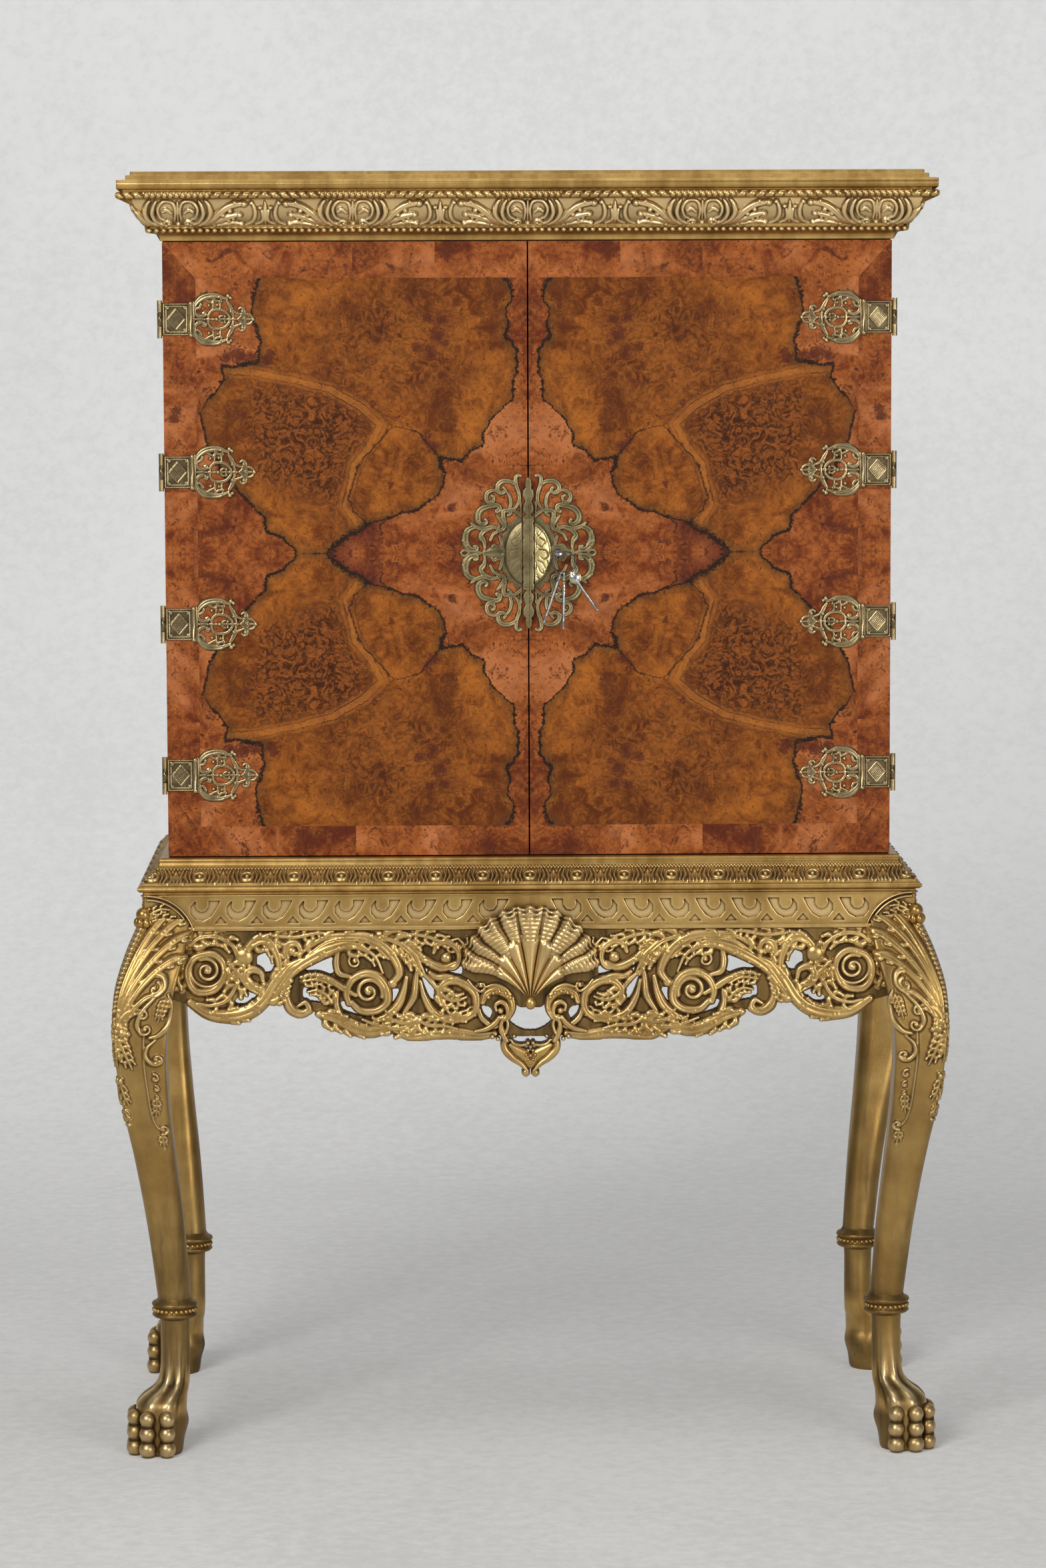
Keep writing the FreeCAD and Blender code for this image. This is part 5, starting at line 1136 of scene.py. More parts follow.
for side in ("front", "back", "left", "right"):
    faces_out = side in ("front", "back")
    base, half = (case_front, case_half) if faces_out else (case_half, case_front)
    # painted shade over the low ground between the leaves of the band
    run = moulding_run(band_profile, base, ((-half, -1), (half, 1)), stand_top, band_carving,
                       [(leaf_low, leaf_high, 0.8)], 0.0, band_period, -1,
                       front_fine if side == "front" else rest_fine)
    build("stand_band_" + side, run, carved_gilt, root_body, ["stand_moulding_" + side], side=side)

# The cornice: three mitred lengths of gilded lime round the front and sides of the case top. A row
# of pearls, a swelling band carved with curling acanthus and buds, a ribbon, and a plain crown.
cornice_steps = [(-0.75, 0), (0.03, 0), (0.03, 0.02), (0.10, 0.085, 0.24, 0.11), (0.25, 0.11),
                 (0.33, 0.15, 0.25, 0.19), (0.26, 0.23), (0.53, 0.375, 0.67, 0.60), (0.90, 0.605),
                 (0.97, 0.655, 0.93, 0.70), (0.86, 0.705), (0.86, 0.745), (1.0, 0.75), (1.0, 0.875),
                 (0.79, 0.885), (0.79, 0.945), (0.69, 0.95), (0.69, 1.0), (-0.55, 1.0),
                 (-0.55, 0.86), (-0.75, 0.86)]
cornice_across, cornice_tall = 53.4, 87.0
case_height = 788.0
cornice_low = stand_top + case_height
cornice_profile = drawn_profile(cornice_steps, cornice_across, cornice_tall, 0.9, (48, 140))
pearl_at = along_at(cornice_profile, 0.15 * cornice_tall)
swell_low = along_at(cornice_profile, 0.235 * cornice_tall)
swell_high = along_at(cornice_profile, 0.598 * cornice_tall)
ribbon_at = along_at(cornice_profile, 0.655 * cornice_tall)
c = Carving(-1, 112, 40, 150, 0.5)
cut = (np.abs(c.v - pearl_at) < 4.2)[:, None]
c.height -= 1.6 * cut
pearl_pitch, disc_pitch, fold_pitch = 9.21, 7.6, 12.0
for number in range(13):
    c.dome(pearl_pitch * number, pearl_at, 3.9, 4.0, -1.6)
# places in the swelling band, whose height counts as 40
unit = (swell_high - swell_low) / 40
for widths, lift, points in (
        ((1.0, 1.6, 1.2), 4.2, [(0, 9), (0, 24), (0, 38)]),
        ((1.4, 2.2, 2.4, 2.0, 1.4), 4.4, [(4, 12), (3, 27), (7, 37), (18, 38), (25, 29), (23, 18),
                                          (16, 12)]),
        ((1.8, 3.4, 2.4), 3.6, [(8, 22), (14, 27), (19, 24)]),
        ((1.8, 2.8, 3.0, 1.8), 4.8, [(14, 1), (26, 8), (32, 20), (31, 31), (27, 39)]),
        ((1.8, 3.2, 3.4, 2.0), 5.0, [(19, 0), (34, 8), (41, 20), (40, 32), (35, 40)]),
        ((2.0, 4.2, 5.4, 4.8, 3.4), 5.4, [(24, 0), (42, 10), (52, 22), (66, 32), (84, 36)]),
        ((1.8, 4.0, 4.6, 3.2), 5.0, [(30, 0), (47, 8), (62, 16), (78, 21)]),
        ((1.6, 3.2, 3.4, 2.2), 4.4, [(44, 0), (58, 4), (70, 7), (80, 5)]),
        ((1.4, 2.8, 3.0, 1.8), 4.6, [(85, 3), (95, 11), (98, 24), (94, 38)]),
        ((1.2, 2.6, 1.6), 4.4, [(98, 4), (107, 12), (106, 26)]),
        ((1.2, 2.2, 1.4), 4.2, [(111, 2), (109, 20), (111, 38)])):
    c.stroke([(u, swell_low + v * unit) for u, v in points], widths,
             [lift * 0.8, lift, lift * 0.9], groove=0.12)
for u, v, radius, lift in ((84, 35, 4.6, 6.2), (78, 20, 4.2, 6.0), (80, 5, 3.4, 5.2),
                           (57, 20, 3.6, 5.6), (66, 26, 3.4, 5.6), (50, 3, 2.6, 4.4),
                           (64, 12, 3.0, 5.2), (70, 15, 2.8, 5.0), (104, 30, 3.0, 5.0),
                           (0, 5, 3.4, 5.0), (93, 36, 3.0, 4.6), (72, 37, 3.0, 5.6)):
    c.dome(u, swell_low + v * unit, radius, lift)
c.scroll(12, swell_low + 6 * unit, 6.0, 1.0, 0, 1, 1.8, 4.6)
for number in range(6):
    c.dome(disc_pitch * number, ribbon_at, 3.9, 3.6)
    c.dome(disc_pitch * (number + 0.5), ribbon_at + 2.6, 2.2, 2.8)
    start = 44 + fold_pitch * number
    c.stroke([(start, ribbon_at - 2.4), (start + 6, ribbon_at + 0.2),
              (start + 11, ribbon_at + 2.8)], [2.0, 4.0, 2.0], [2.4, 3.8, 2.4], groove=0.1)
c.soften()
cornice_period = 221.0
cornice_ends = {"front": ((-case_half, -1), (case_half, 1)),
                "left": ((-case_front, 0), (case_front, 1)),
                "right": ((-case_front, -1), (case_front, 0))}
for side, ends in cornice_ends.items():
    # a little painted shade over the low ground of the swelling band, and painted sheen over all of
    # it
    run = moulding_run(cornice_profile, case_front if side == "front" else case_half, ends,
                       cornice_low, c, [(swell_low - 1, swell_high, 0.12)], 0.48, cornice_period, 1,
                       0.9 if side == "front" else 1.6)
    build("crown_" + side, run, carved_gilt, root_body, ["cornice_" + side], side=side)

# The doors: softwood slabs faced with burr walnut. Four matching leaves are laid so that their
# figure mirrors across the meeting line and across the middle, in a mitred border of crossbanding.
lock_z = (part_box("lock_plate_left")[0].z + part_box("lock_plate_left")[1].z) / 2 / mm
door_low, door_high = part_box("door_right")
sap_edge = [(338, 362), (352, 326), (349, 297), (341, 266), (342, 245), (390, 237), (387, 224),
            (402, 202), (418, 182), (410, 149), (393, 108), (371, 79), (349, 60), (338, 44),
            (336, 30), (316, 19), (298, 3), (298, -3), (256, -3), (256, 3), (246, 12), (232, 24),
            (216, 30), (203, 40), (190, 41), (172, 48), (140, 57), (115, 73), (107, 101),
            (114, 122), (109, 123), (85, 117), (71, 131), (57, 139), (55, 152), (49, 172),
            (33, 182), (22, 193), (17, 212), (14, 234), (14, 259), (30, 278), (25, 291), (30, 313),
            (20, 319), (17, 335), (33, 354), (33, 362)]
burr_edge = [(358, 215), (311, 224), (267, 212), (219, 187), (207, 158), (216, 127), (225, 98),
             (235, 70), (248, 51), (286, 73), (323, 82), (352, 101), (361, 133), (365, 177)]
lobe_edge = [(172, 164), (194, 139), (219, 108), (224, 85), (229, 70), (224, 54), (203, 35),
             (189, 25), (191, 35), (172, 48), (140, 57), (115, 73), (107, 101), (115, 123),
             (140, 155)]
pale_streak = [(387, 234), (346, 231), (298, 221), (251, 209), (213, 187), (188, 164), (203, 136),
               (222, 114), (229, 85), (235, 60), (219, 38)]
dark_fringe = [(252, 3), (244, 13), (231, 24), (215, 31), (202, 40)]
knots = [(115, 278, 10), (109, 297, 5), (124, 256, 8), (128, 300, 6), (327, 256, 6), (330, 248, 7),
         (197, 191, 5), (131, 147, 7), (121, 136, 8), (368, 253, 12), (384, 250, 9), (352, 251, 7),
         (176, 87, 4), (140, 262, 6), (105, 268, 5)]
# the crack beside the lock, in metres: its slope, its height at the meeting line, and where it runs
crack_slope, crack_rise, crack_start, crack_end = 0.97, 0.0246, 0.045, 0.104


def walnut(name, figured):
    """Polished burr walnut. The figured one has the sheet's own outlines in its marks."""
    r = Recipe(name)
    axes = {key: r.node("ShaderNodeSeparateXYZ", {}, {0: r.place()}, key) for key in "XYZ"}
    leaf = r.mark("leaf")
    across = abs(axes["X"]) + leaf * 0.37
    from_lock = abs(axes["Z"] - lock_z * mm)
    height = from_lock + leaf * 0.73
    spot = r.node("ShaderNodeCombineXYZ", {}, {"X": across, "Y": axes["Y"] + leaf, "Z": height},
                  "Vector")
    cloud = r.noise(spot, 9.0, 5.0, 0.62, 0.6)
    blotch = r.noise(spot, 30.0, 6.0, 0.66, 1.4)
    fleck = r.noise(spot, 130.0, 5.0, 0.62, 1.6)
    pore = r.noise(spot, 520.0, 2.0, 0.5)
    curl = r.noise(spot, 62.0, 5.0, 0.62, 2.6)
    own = r.noise(r.node("ShaderNodeCombineXYZ", {}, {"X": leaf * 5.7}, "Vector"), 1.0, 0.0)
    tone = cloud * 0.34 + blotch * 0.42 + curl * 0.24 + (own - 0.5) * 0.16
    red = r.mix(r.step(tone, 0.40, 0.60), (0.130, 0.024, 0.005), (0.420, 0.122, 0.024))
    red = r.mix(r.step(cloud, 0.50, 0.66) * 0.55, red, (0.500, 0.180, 0.068))
    red = r.mix(r.step(blotch * 0.85 + fleck * 0.35, 0.62, 0.76) * 0.85, red, (0.055, 0.011, 0.006))
    dark_cloud = 1.0 - r.step(cloud * 0.8 + curl * 0.2, 0.38, 0.50)
    red = r.mix(dark_cloud * 0.6, red, (0.075, 0.013, 0.006))
    colour = red
    if figured:
        ragged = (r.noise(spot, 42.0, 4.0, 0.6) - 0.5) * 15.0 + (fleck - 0.5) * 12.0
        edge = r.mark("sap") + ragged
        inside = r.step(edge, -0.4, 0.4)
        gold = r.mix(r.step(tone, 0.39, 0.61), (0.105, 0.023, 0.003), (0.385, 0.118, 0.015))
        gold = r.mix(r.step(blotch * 0.6 + fleck * 0.6, 0.66, 0.82) * 0.7, gold,
                     (0.060, 0.016, 0.005))
        gold = r.mix(dark_cloud * 0.45, gold, (0.085, 0.020, 0.004))
        burr = r.step(r.mark("burr") + (blotch - 0.5) * 110.0, -16.0, 22.0)
        second = r.step(r.mark("second") + (blotch - 0.5) * 150.0, -30.0, 30.0)
        dusk = r.mix(r.step(curl * 0.6 + fleck * 0.4, 0.44, 0.60), (0.030, 0.008, 0.003),
                     (0.300, 0.085, 0.014))
        gold = r.mix(second * 0.45, gold, dusk)
        gold = r.mix(burr * 0.86, gold, dusk)
        eyes = r.node("ShaderNodeTexVoronoi", {"feature": "F1"}, {"Vector": spot + (
            r.noise(spot, 60.0, 3.0, 0.6) * 0.02), "Scale": 85.0}, "Distance")
        eye = (1.0 - r.step(eyes, 0.10, 0.34)) * r.step(fleck, 0.44, 0.56)
        gold = r.mix(eye * (burr * 0.75 + second * 0.35 + 0.10), gold, (0.045, 0.012, 0.005))
        streak = r.mark("streak") + ragged * 0.35
        pale = (1.0 - r.step(streak + (curl - 0.5) * 30.0 + (blotch - 0.5) * 26.0, 1.0, 10.0)
                ) * inside
        fibre = r.noise(r.node("ShaderNodeCombineXYZ", {}, {"X": streak * 0.34, "Y": cloud * 2.0},
                               "Vector"), 1.0, 2.0)
        gold = r.mix(pale * r.step(fibre, 0.36, 0.60) * 0.6, gold, (0.480, 0.170, 0.030))
        gold = r.mix(pale * (1.0 - r.step(fibre, 0.34, 0.50)) * 0.65, gold, (0.080, 0.022, 0.005))
        thread = 1.0 - r.step(abs(streak + (curl - 0.5) * 16.0 - 10.0), 0.4, 2.0)
        gold = r.mix(thread * 0.6, gold, (0.090, 0.028, 0.009))
        rimmed = (1.0 - r.step(edge + (curl - 0.5) * 12.0, 0.0, 14.0)) * inside
        gold = r.mix(rimmed * 0.62, gold, (0.095, 0.042, 0.010))
        colour = r.mix(inside, red, gold)
        thick = r.noise(spot, 24.0, 3.0, 0.6)
        line = 1.0 - r.step(abs(edge) / (thick * 4.4), 0.45, 1.05)
        lobe = r.mark("lobe") + ragged * 0.8
        line2 = (1.0 - r.step(abs(lobe) / (thick * 2.4), 0.45, 1.05)) * 0.85
        fringe = 1.0 - r.step(r.mark("fringe") + (fleck - 0.5) * 34.0, 1.0, 6.0)
        shade = (1.0 - r.step(r.mark("fringe"), 3.0, 34.0)) * (1.0 - inside)
        colour = r.mix(shade * 0.7, colour, (0.085, 0.014, 0.010))
        knot = r.step(r.mark("knot") + (fleck - 0.5) * 2.6 + (curl - 0.5) * 2.0, 0.24, 0.60)
        colour = r.mix(knot * 0.75, colour, (0.060, 0.009, 0.008))
        for mask in (line, line2, fringe * 0.9):
            colour = r.mix(mask, colour, (0.018, 0.009, 0.005))
        seam = 1.0 - r.step(from_lock, 0.0002, 0.0007)
        colour = r.mix(seam * 0.5, colour, (0.10, 0.03, 0.012))
        aside = abs(axes["X"])
        split = abs(from_lock - aside * crack_slope - crack_rise + (curl - 0.5) * 0.006)
        crack = 1.0 - r.step(split, 0.0003, 0.0010)
        crack = crack * (1.0 - r.step(aside, crack_end - 0.014, crack_end))
        crack = crack * r.step(axes["X"], crack_start, crack_start + 0.010)
        colour = r.mix(crack * 0.6, colour, (0.06, 0.018, 0.008))
    mottle = r.noise(spot, 19.0, 6.0, 0.70, 0.9)
    colour = r.mix(r.step(mottle, 0.48, 0.66) * 0.36, colour, (0.070, 0.018, 0.006))
    colour = r.mix(r.step(pore, 0.60, 0.75) * 0.25, colour, (0.10, 0.032, 0.012))
    return r.finish(bump=pore * 0.3 + blotch * 0.7, strength=0.035, Base_Color=colour,
                    Roughness=0.40 + pore * 0.12, Specular_IOR_Level=0.10, Coat_Weight=0.04,
                    Coat_Roughness=0.12)


burr_walnut = walnut("burr_walnut", True)
side_walnut = walnut("side_walnut", False)

# the marks that the mesh carries for the walnut: the leaf's number, then distances and masks
mark_names = ("leaf", "sap", "burr", "second", "lobe", "streak", "fringe", "knot")
veneer_front = door_low.y / mm - 0.3
border = 42.0
door_edge = door_high.x / mm
inner_x, inner_z = door_edge - border, (door_high.z - door_low.z) / mm / 2 - border
full_z = inner_z + border


def leaf_marks(x, z, number, plain):
    """The marks that the walnut reads, over places on one leaf of veneer."""
    z = np.abs(z)
    if plain:
        far = np.full(x.shape, -60.0)
        values = [far, far, far, far, -far, -far, far * 0]
    else:
        knot = np.zeros(x.shape)
        for kx, kz, size in knots:
            knot = np.maximum(knot, 1 - np.hypot(x - kx, z - kz) / (1.6 * size))
        oval = 1 - np.hypot((x - 178) / 92, (z - 262) / 74)
        values = [signed_gap(x, z, sap_edge), signed_gap(x, z, burr_edge), oval * 80,
                  signed_gap(x, z, lobe_edge), signed_gap(x, z, pale_streak, False),
                  signed_gap(x, z, dark_fringe, False), knot]
    return dict(zip(mark_names, [np.full(x.shape, float(number))] + values))


def veneer_leaf(corners, columns, rows, number, plain=True):
    """One four-sided leaf, from its corners given anticlockwise from the lower left."""
    a, b = np.meshgrid(np.linspace(0, 1, columns), np.linspace(0, 1, rows))
    low = np.outer((1 - a).ravel(), corners[0]) + np.outer(a.ravel(), corners[1])
    high = np.outer((1 - a).ravel(), corners[3]) + np.outer(a.ravel(), corners[2])
    flat = low * (1 - b.ravel()[:, None]) + high * b.ravel()[:, None]
    marks = leaf_marks(flat[:, 0], flat[:, 1], number, plain)
    level = np.where(flat[:, 1] > full_z - 0.01, door_high.z / mm, lock_z + flat[:, 1])
    level = np.where(flat[:, 1] < 0.01 - full_z, door_low.z / mm, level)
    points = np.stack([flat[:, 0], np.full(len(flat), veneer_front), level], 1)
    return points, grid_faces(rows, columns), marks


joints_x, joints_z = (1.0, 118.0, 223.0, 325.0), (-216.0, -79.0, 79.0, 216.0)
leaves = [veneer_leaf([(1, -inner_z), (inner_x, -inner_z), (inner_x, inner_z), (1, inner_z)],
                      141, 237, 0, False)]
for hand in (1, -1):
    for number, (start, end) in enumerate(zip(joints_x, joints_x[1:] + (inner_x,))):
        outer = door_edge if end == inner_x else end
        strip = [(start, inner_z), (end, inner_z), (outer, full_z), (start, full_z)]
        strip = [(x, z * hand) for x, z in (strip if hand > 0 else strip[::-1])]
        leaves.append(veneer_leaf(strip, 2, 2, number + 1 if hand > 0 else number + 7))
for number, (start, end) in enumerate(zip((-inner_z,) + joints_z, joints_z + (inner_z,))):
    low = -full_z if number == 0 else start
    high = full_z if end == inner_z else end
    leaves.append(veneer_leaf([(inner_x, start), (door_edge, low), (door_edge, high),
                               (inner_x, end)], 2, 2, number + 13))
for side, hand in (("left", -1), ("right", 1)):
    parts_points, parts_faces, start = [], [], 0
    for points, faces, _ in leaves:
        parts_points.append(points * (hand, 1, 1))
        parts_faces.append((faces if hand > 0 else faces[:, ::-1]) + start)
        start += len(points)
    marks = {key: np.concatenate([leaf[2][key] for leaf in leaves]) for key in mark_names}
    sheet = make_mesh("veneer_" + side, np.vstack(parts_points) * mm, np.vstack(parts_faces),
                      burr_walnut, marks, smooth=False)
    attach(sheet, side + "_door")


# The hinges: four a side, of cast brass. Each strap has an engraved plate, a rolled bar and a
# pierced scrolled end, and is screwed over the veneer. The wings on the case and the pins are the
# frame's own.
def brass(name, dark, middle, bright, rough):
    """Cast brass, lacquered and dulled, with painted highlight where it stands proud, and darker in
    its hollows and engraving, partly tarnish and partly painted shade.
    """
    r = Recipe(name)
    spot = r.place()
    cloud = r.noise(spot, 55.0, 4.0, 0.6)
    grain = r.noise(spot, 600.0, 2.0, 0.5)
    colour = r.mix(r.step(cloud, 0.35, 0.65), middle, bright)
    # painted highlight where the casting stands proud, then tarnish and painted shade in its
    # hollows
    colour = r.mix(r.mark("painted_highlight") * 0.8, colour, tuple(min(1.0, v * 1.7) for v in bright))
    colour = r.mix(r.mark("shade_and_patina") * 0.9, colour, dark)
    return r.finish(bump=grain, strength=0.08, Base_Color=colour, Metallic=0.92,
                    Roughness=rough + grain * 0.08)


hinge_brass = brass("hinge_brass", (0.012, 0.009, 0.005), (0.150, 0.106, 0.050),
                    (0.31, 0.235, 0.122), 0.24)
lock_brass = brass("lock_brass", (0.018, 0.013, 0.008), (0.130, 0.100, 0.048),
                   (0.235, 0.185, 0.092), 0.36)
boss_gold = brass("boss_gold", (0.05, 0.03, 0.01), (0.50, 0.37, 0.15), (0.72, 0.56, 0.27), 0.24)
cast_widening = 1.55
end_lines = [
    ((1.9, 3.2, 3.4, 2.3, 1.3), 2.4, [(-423, 17), (-420, 22), (-413, 27.5), (-404, 30), (-396, 30),
                                      (-388, 27.5), (-382, 25.5)]),
    ((1.1, 1.7, 1.5, 1.1), 2.0, [(-382, 23.5), (-378, 17), (-374, 10.3), (-368.5, 7.3)]),
    ((1.0, 1.4, 1.3, 1.0), 2.0, [(-368.5, 7.3), (-363, 6.3), (-360, 9.3), (-361, 13.3),
                                 (-364.5, 14.6), (-367.4, 12.7)]),
    ((1.0, 1.5, 1.1, 1.0), 2.0, [(-368.6, 0), (-364, 3.7), (-358, 6.3), (-352.5, 5.1),
                                 (-350, 1.5)]),
    ((1.1, 1.9, 1.7, 1.1), 2.2, [(-423.6, 15), (-423, 9.6), (-420, 5.3), (-414, 4.1), (-410, 5.8),
                                 (-410.4, 8.4), (-413.3, 7.8)]),
    ((1.0, 1.5, 1.3), 1.8, [(-421.5, 13.3), (-417.7, 14.7), (-415, 19)]),
    ((1.0, 1.5, 1.5, 1.3), 2.0, [(-405.6, 0), (-406, 4.3), (-403, 9.5), (-398, 12), (-391, 12),
                                 (-385, 10), (-380.4, 5.2), (-378.8, 0)]),
    ((0.9, 1.2, 0.9), 1.8, [(-399, 27.4), (-400, 21), (-400.5, 13.3)]),
    ((0.9, 1.2, 0.9), 1.8, [(-389.7, 25.5), (-391.4, 20), (-391, 12.8)]),
    ((1.2, 1.2), 1.8, [(-424.5, 0), (-352, 0)]),
    ((0.9, 1.3, 1.3, 1.1), 1.9, [(-382.6, 22.6), (-378.4, 14), (-375.2, 6.6), (-374, 0)]),
    ((0.8, 1.3, 1.0), 1.8, [(-399.6, 26.5), (-395, 23.2), (-389.7, 23.1)]),
    ((0.8, 1.1, 0.8), 1.8, [(-413.8, 27.5), (-406, 22.7), (-400, 20)]),
    ((0.8, 1.0, 0.8), 1.7, [(-395.6, 0), (-389.4, 4.3), (-385, 3.8)]),
    ((0.8, 1.0, 0.8), 1.7, [(-366.7, 0), (-363, 2.3), (-358.2, 2.7)])]
end_knobs = [(-381, 29.4, 2.9, 3.0), (-377.5, 26.8, 2.3, 2.8), (-362.8, 10.3, 2.3, 2.6),
             (-405.4, 17.4, 2.1, 2.8), (-394.5, 18.3, 1.9, 2.8), (-389.2, 22.7, 1.7, 2.6),
             (-410.8, 0, 1.5, 2.6), (-404, 0, 1.3, 2.6), (-395.6, 0, 2.6, 3.4),
             (-385.2, 3.6, 1.9, 2.8), (-372, 0, 1.8, 2.8), (-360, 0, 1.8, 2.6),
             (-349.5, 0, 2.6, 2.4), (-411.4, 6.1, 1.7, 2.6), (-377.4, 10, 2.1, 2.6)]
leaf_front = door_low.y / mm
leaf_back = leaf_front - 0.02
strap_end = Carving(-427, -345, -34, 34, 0.7)
for hand in (1, -1):
    for widths, lift, points in end_lines:
        strap_end.stroke([(u, v * hand) for u, v in points], [w * cast_widening for w in widths],
                         [lift], base=0.8, groove=0.2)
    for u, v, radius, lift in end_knobs:
        strap_end.dome(u, v * hand, radius * 1.2, lift * 1.25, 0.8)
strap_end.depth = 1.0
plate = Carving(-464.5, -429.5, -20.5, 20.5, 0.6)
plate.depth = 0.5
plate.reach[:] = unpierced
plate_level = 1.6
plate.height[:] = plate_level
centre_u = -447.0
for inset in (1.2, 4.2):
    high, wide = 20.5 - inset, 17.2 - inset
    frame_line = [(centre_u - wide, -high), (centre_u + wide, -high), (centre_u + wide, high),
                  (centre_u - wide, high), (centre_u - wide, -high)]
    for start, end in zip(frame_line, frame_line[1:]):
        plate.stroke([start, end], [0.8], [0.7], base=plate_level)
diamond = [(centre_u - 11, 0), (centre_u, -13), (centre_u + 11, 0), (centre_u, 13),
           (centre_u - 11, 0)]
for start, end in zip(diamond, diamond[1:]):
    plate.stroke([start, end], [0.7], [0.7], base=plate_level)
for number in range(-3, 4):
    plate.stroke([(centre_u - 6 + number * 1.4, 7 + number * 1.6),
                  (centre_u + 6 + number * 1.4, -7 + number * 1.6)], [0.5], [0.5],
                 base=plate_level)
for u in (-11.2, 11.2):
    for v in (-14.5, 14.5):
        plate.dome(centre_u + u, v, 2.2, 1.0, plate_level, hole=0.5)
strap = fretwork(strap_end, leaf_front, leaf_back) + fretwork(plate, leaf_front, leaf_back)
roll_u, rod_u, barrel_u = -428.4, -424.6, -467.7
roll = [(0.01, -23), (2.6, -22.6), (3.6, -20.8), (3.6, -18.6), (2.5, -17.4), (2.5, 17.4),
        (3.6, 18.6), (3.6, 20.8), (2.6, 22.6), (0.01, 23)]
points, faces, _ = lathe(roll, (roll_u, leaf_front - 2.6, 0), count=20)
# painted highlight all over the rolled bar
strap.append((points, faces, {"painted_highlight": 0.7}))
strap.append(lathe([(1.2, -22.8), (1.9, -21), (1.9, 21), (1.2, 22.8)],
                   (rod_u, leaf_front - 1.6, 0), count=14))
strap.append(lathe([(0.01, -9), (3.2, -9), (3.2, 9), (0.01, 9)], (barrel_u, leaf_front - 3.2, 0),
                   count=20))
strap.append(block_part((barrel_u, leaf_front - 3.2, -8.8), (-463.8, leaf_front - 0.1, 8.8)))
strap_points, strap_faces, strap_marks = joined(strap)
for side, hand in (("left", 1), ("right", -1)):
    template = None
    for number in range(1, 5):
        node_name = "hinge_strap_%s_%d" % (side, number)
        low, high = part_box(node_name)
        if template is None:
            made = make_mesh("strap_%s_%d" % (side, number), strap_points * (hand, 1, 1) * mm,
                             strap_faces if hand > 0 else strap_faces[:, ::-1], hinge_brass,
                             strap_marks)
            template = made.data
        else:
            made = bpy.data.objects.new("strap_%s_%d" % (side, number), template)
            bpy.context.scene.collection.objects.link(made)
        made.location.z = (low.z + high.z) / 2
        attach(made, side + "_door")
        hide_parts(node_name)

# The lock plates: a pierced plate of greenish brass cut in two at the meeting line, with a domed
# boss in the middle, and a moulded closing strip on each half. The keyhole is on the right.
plate_lines = [
    ((1.3, 2.1, 1.9, 1.3), [(9.4, 98.5), (13.5, 99), (16.4, 95), (15.3, 86), (12.1, 76.5),
                            (11.7, 67), (15.4, 59), (20.6, 55)]),
    ((1.8, 2.4, 2.1, 1.3), [(16.8, 88), (24, 91.5), (33, 91.3), (38.8, 86), (38.6, 79), (33, 76.6),
                            (29.3, 80), (31.5, 83.6)]),
    ((1.2, 1.9, 1.8), [(29.3, 80), (24.2, 73), (22.4, 64), (24.2, 55)]),
    ((1.3, 2.1, 1.9, 1.2), [(38.8, 79), (45.5, 80), (52, 76.7), (54, 70), (50.7, 64.6),
                            (44.8, 66.3), (44, 71.5), (47, 73.4)]),
    ((1.2, 2.4, 2.1), [(51.4, 64.2), (44, 62.2), (38.2, 60), (36.7, 55.3), (40.4, 53)]),
    ((1.5, 2.9, 3.2, 2.1, 1.2), [(40.4, 59.7), (50, 59.3), (59.5, 56), (64.3, 48.8), (63.7, 40.7),
                                 (58, 36.7), (53, 39.2), (54.4, 43)]),
    ((0.9, 2.1, 2.4, 1.3), [(73.6, 38.5), (67, 33.4), (56.7, 30.8), (45, 32.8), (34.6, 29.5)]),
    ((1.2, 2.9, 3.5, 2.6, 1.3), [(55.2, 30.8), (67, 33), (76.6, 29.7), (80.6, 21), (79.6, 11.3),
                                 (73.7, 5), (67, 4.4), (66, 7.6), (69.3, 8.8)]),
    ((1.2, 2.4, 2.9, 1.8, 1.2), [(47, 31), (56.7, 27.4), (61, 21.6), (57, 15), (56, 6), (58, 0)]),
    ((0.7, 1.3, 1.0), [(58, 0), (65.7, 1.7), (74.5, 2)]),
    ((0.9, 1.3, 0.9), [(76, 0), (79.6, 3.2), (84, 3), (86.4, 0)]),
    ((1.3, 2.2, 2.4, 1.8), [(25.7, 47), (22.5, 50.8), (25.7, 53.8), (31, 53), (32.4, 47.2),
                            (30.6, 38.3), (31.7, 31), (37.6, 28)]),
    ((0.9, 2.1, 1.5), [(40.5, 47.2), (35, 41.3), (31.7, 34)]),
    ((0.9, 1.8, 1.5), [(36.8, 35.4), (39, 28), (45, 23.7), (48.7, 16.4)]),
    ((2.1, 5.9, 6.8), [(56, 0), (46.5, 0), (34.8, 0)]),
    ((0.9, 1.8, 1.5), [(47.2, 6.8), (44.3, 9.7), (39, 7.5), (33.3, 9)]),
    ((1.5, 2.1, 1.5), [(37, 20.7), (34.7, 14.8), (33.6, 6)]),
    ((1.0, 1.8, 1.3), [(73.6, 38.5), (70.6, 35.6), (67, 34)]),
    ((0.7, 1.3, 0.9), [(81.7, 28.3), (79.5, 24), (78.8, 21)]),
    ((0.7, 1.3, 0.9), [(84.7, 15.8), (81.8, 14.3), (79.6, 12)]),
    ((1.3, 1.9, 1.8), [(11.7, 67), (8.8, 60.3), (8.4, 53)]),
    ((1.3, 1.9, 1.8), [(20.6, 55), (14, 51.5), (8.6, 47)])]
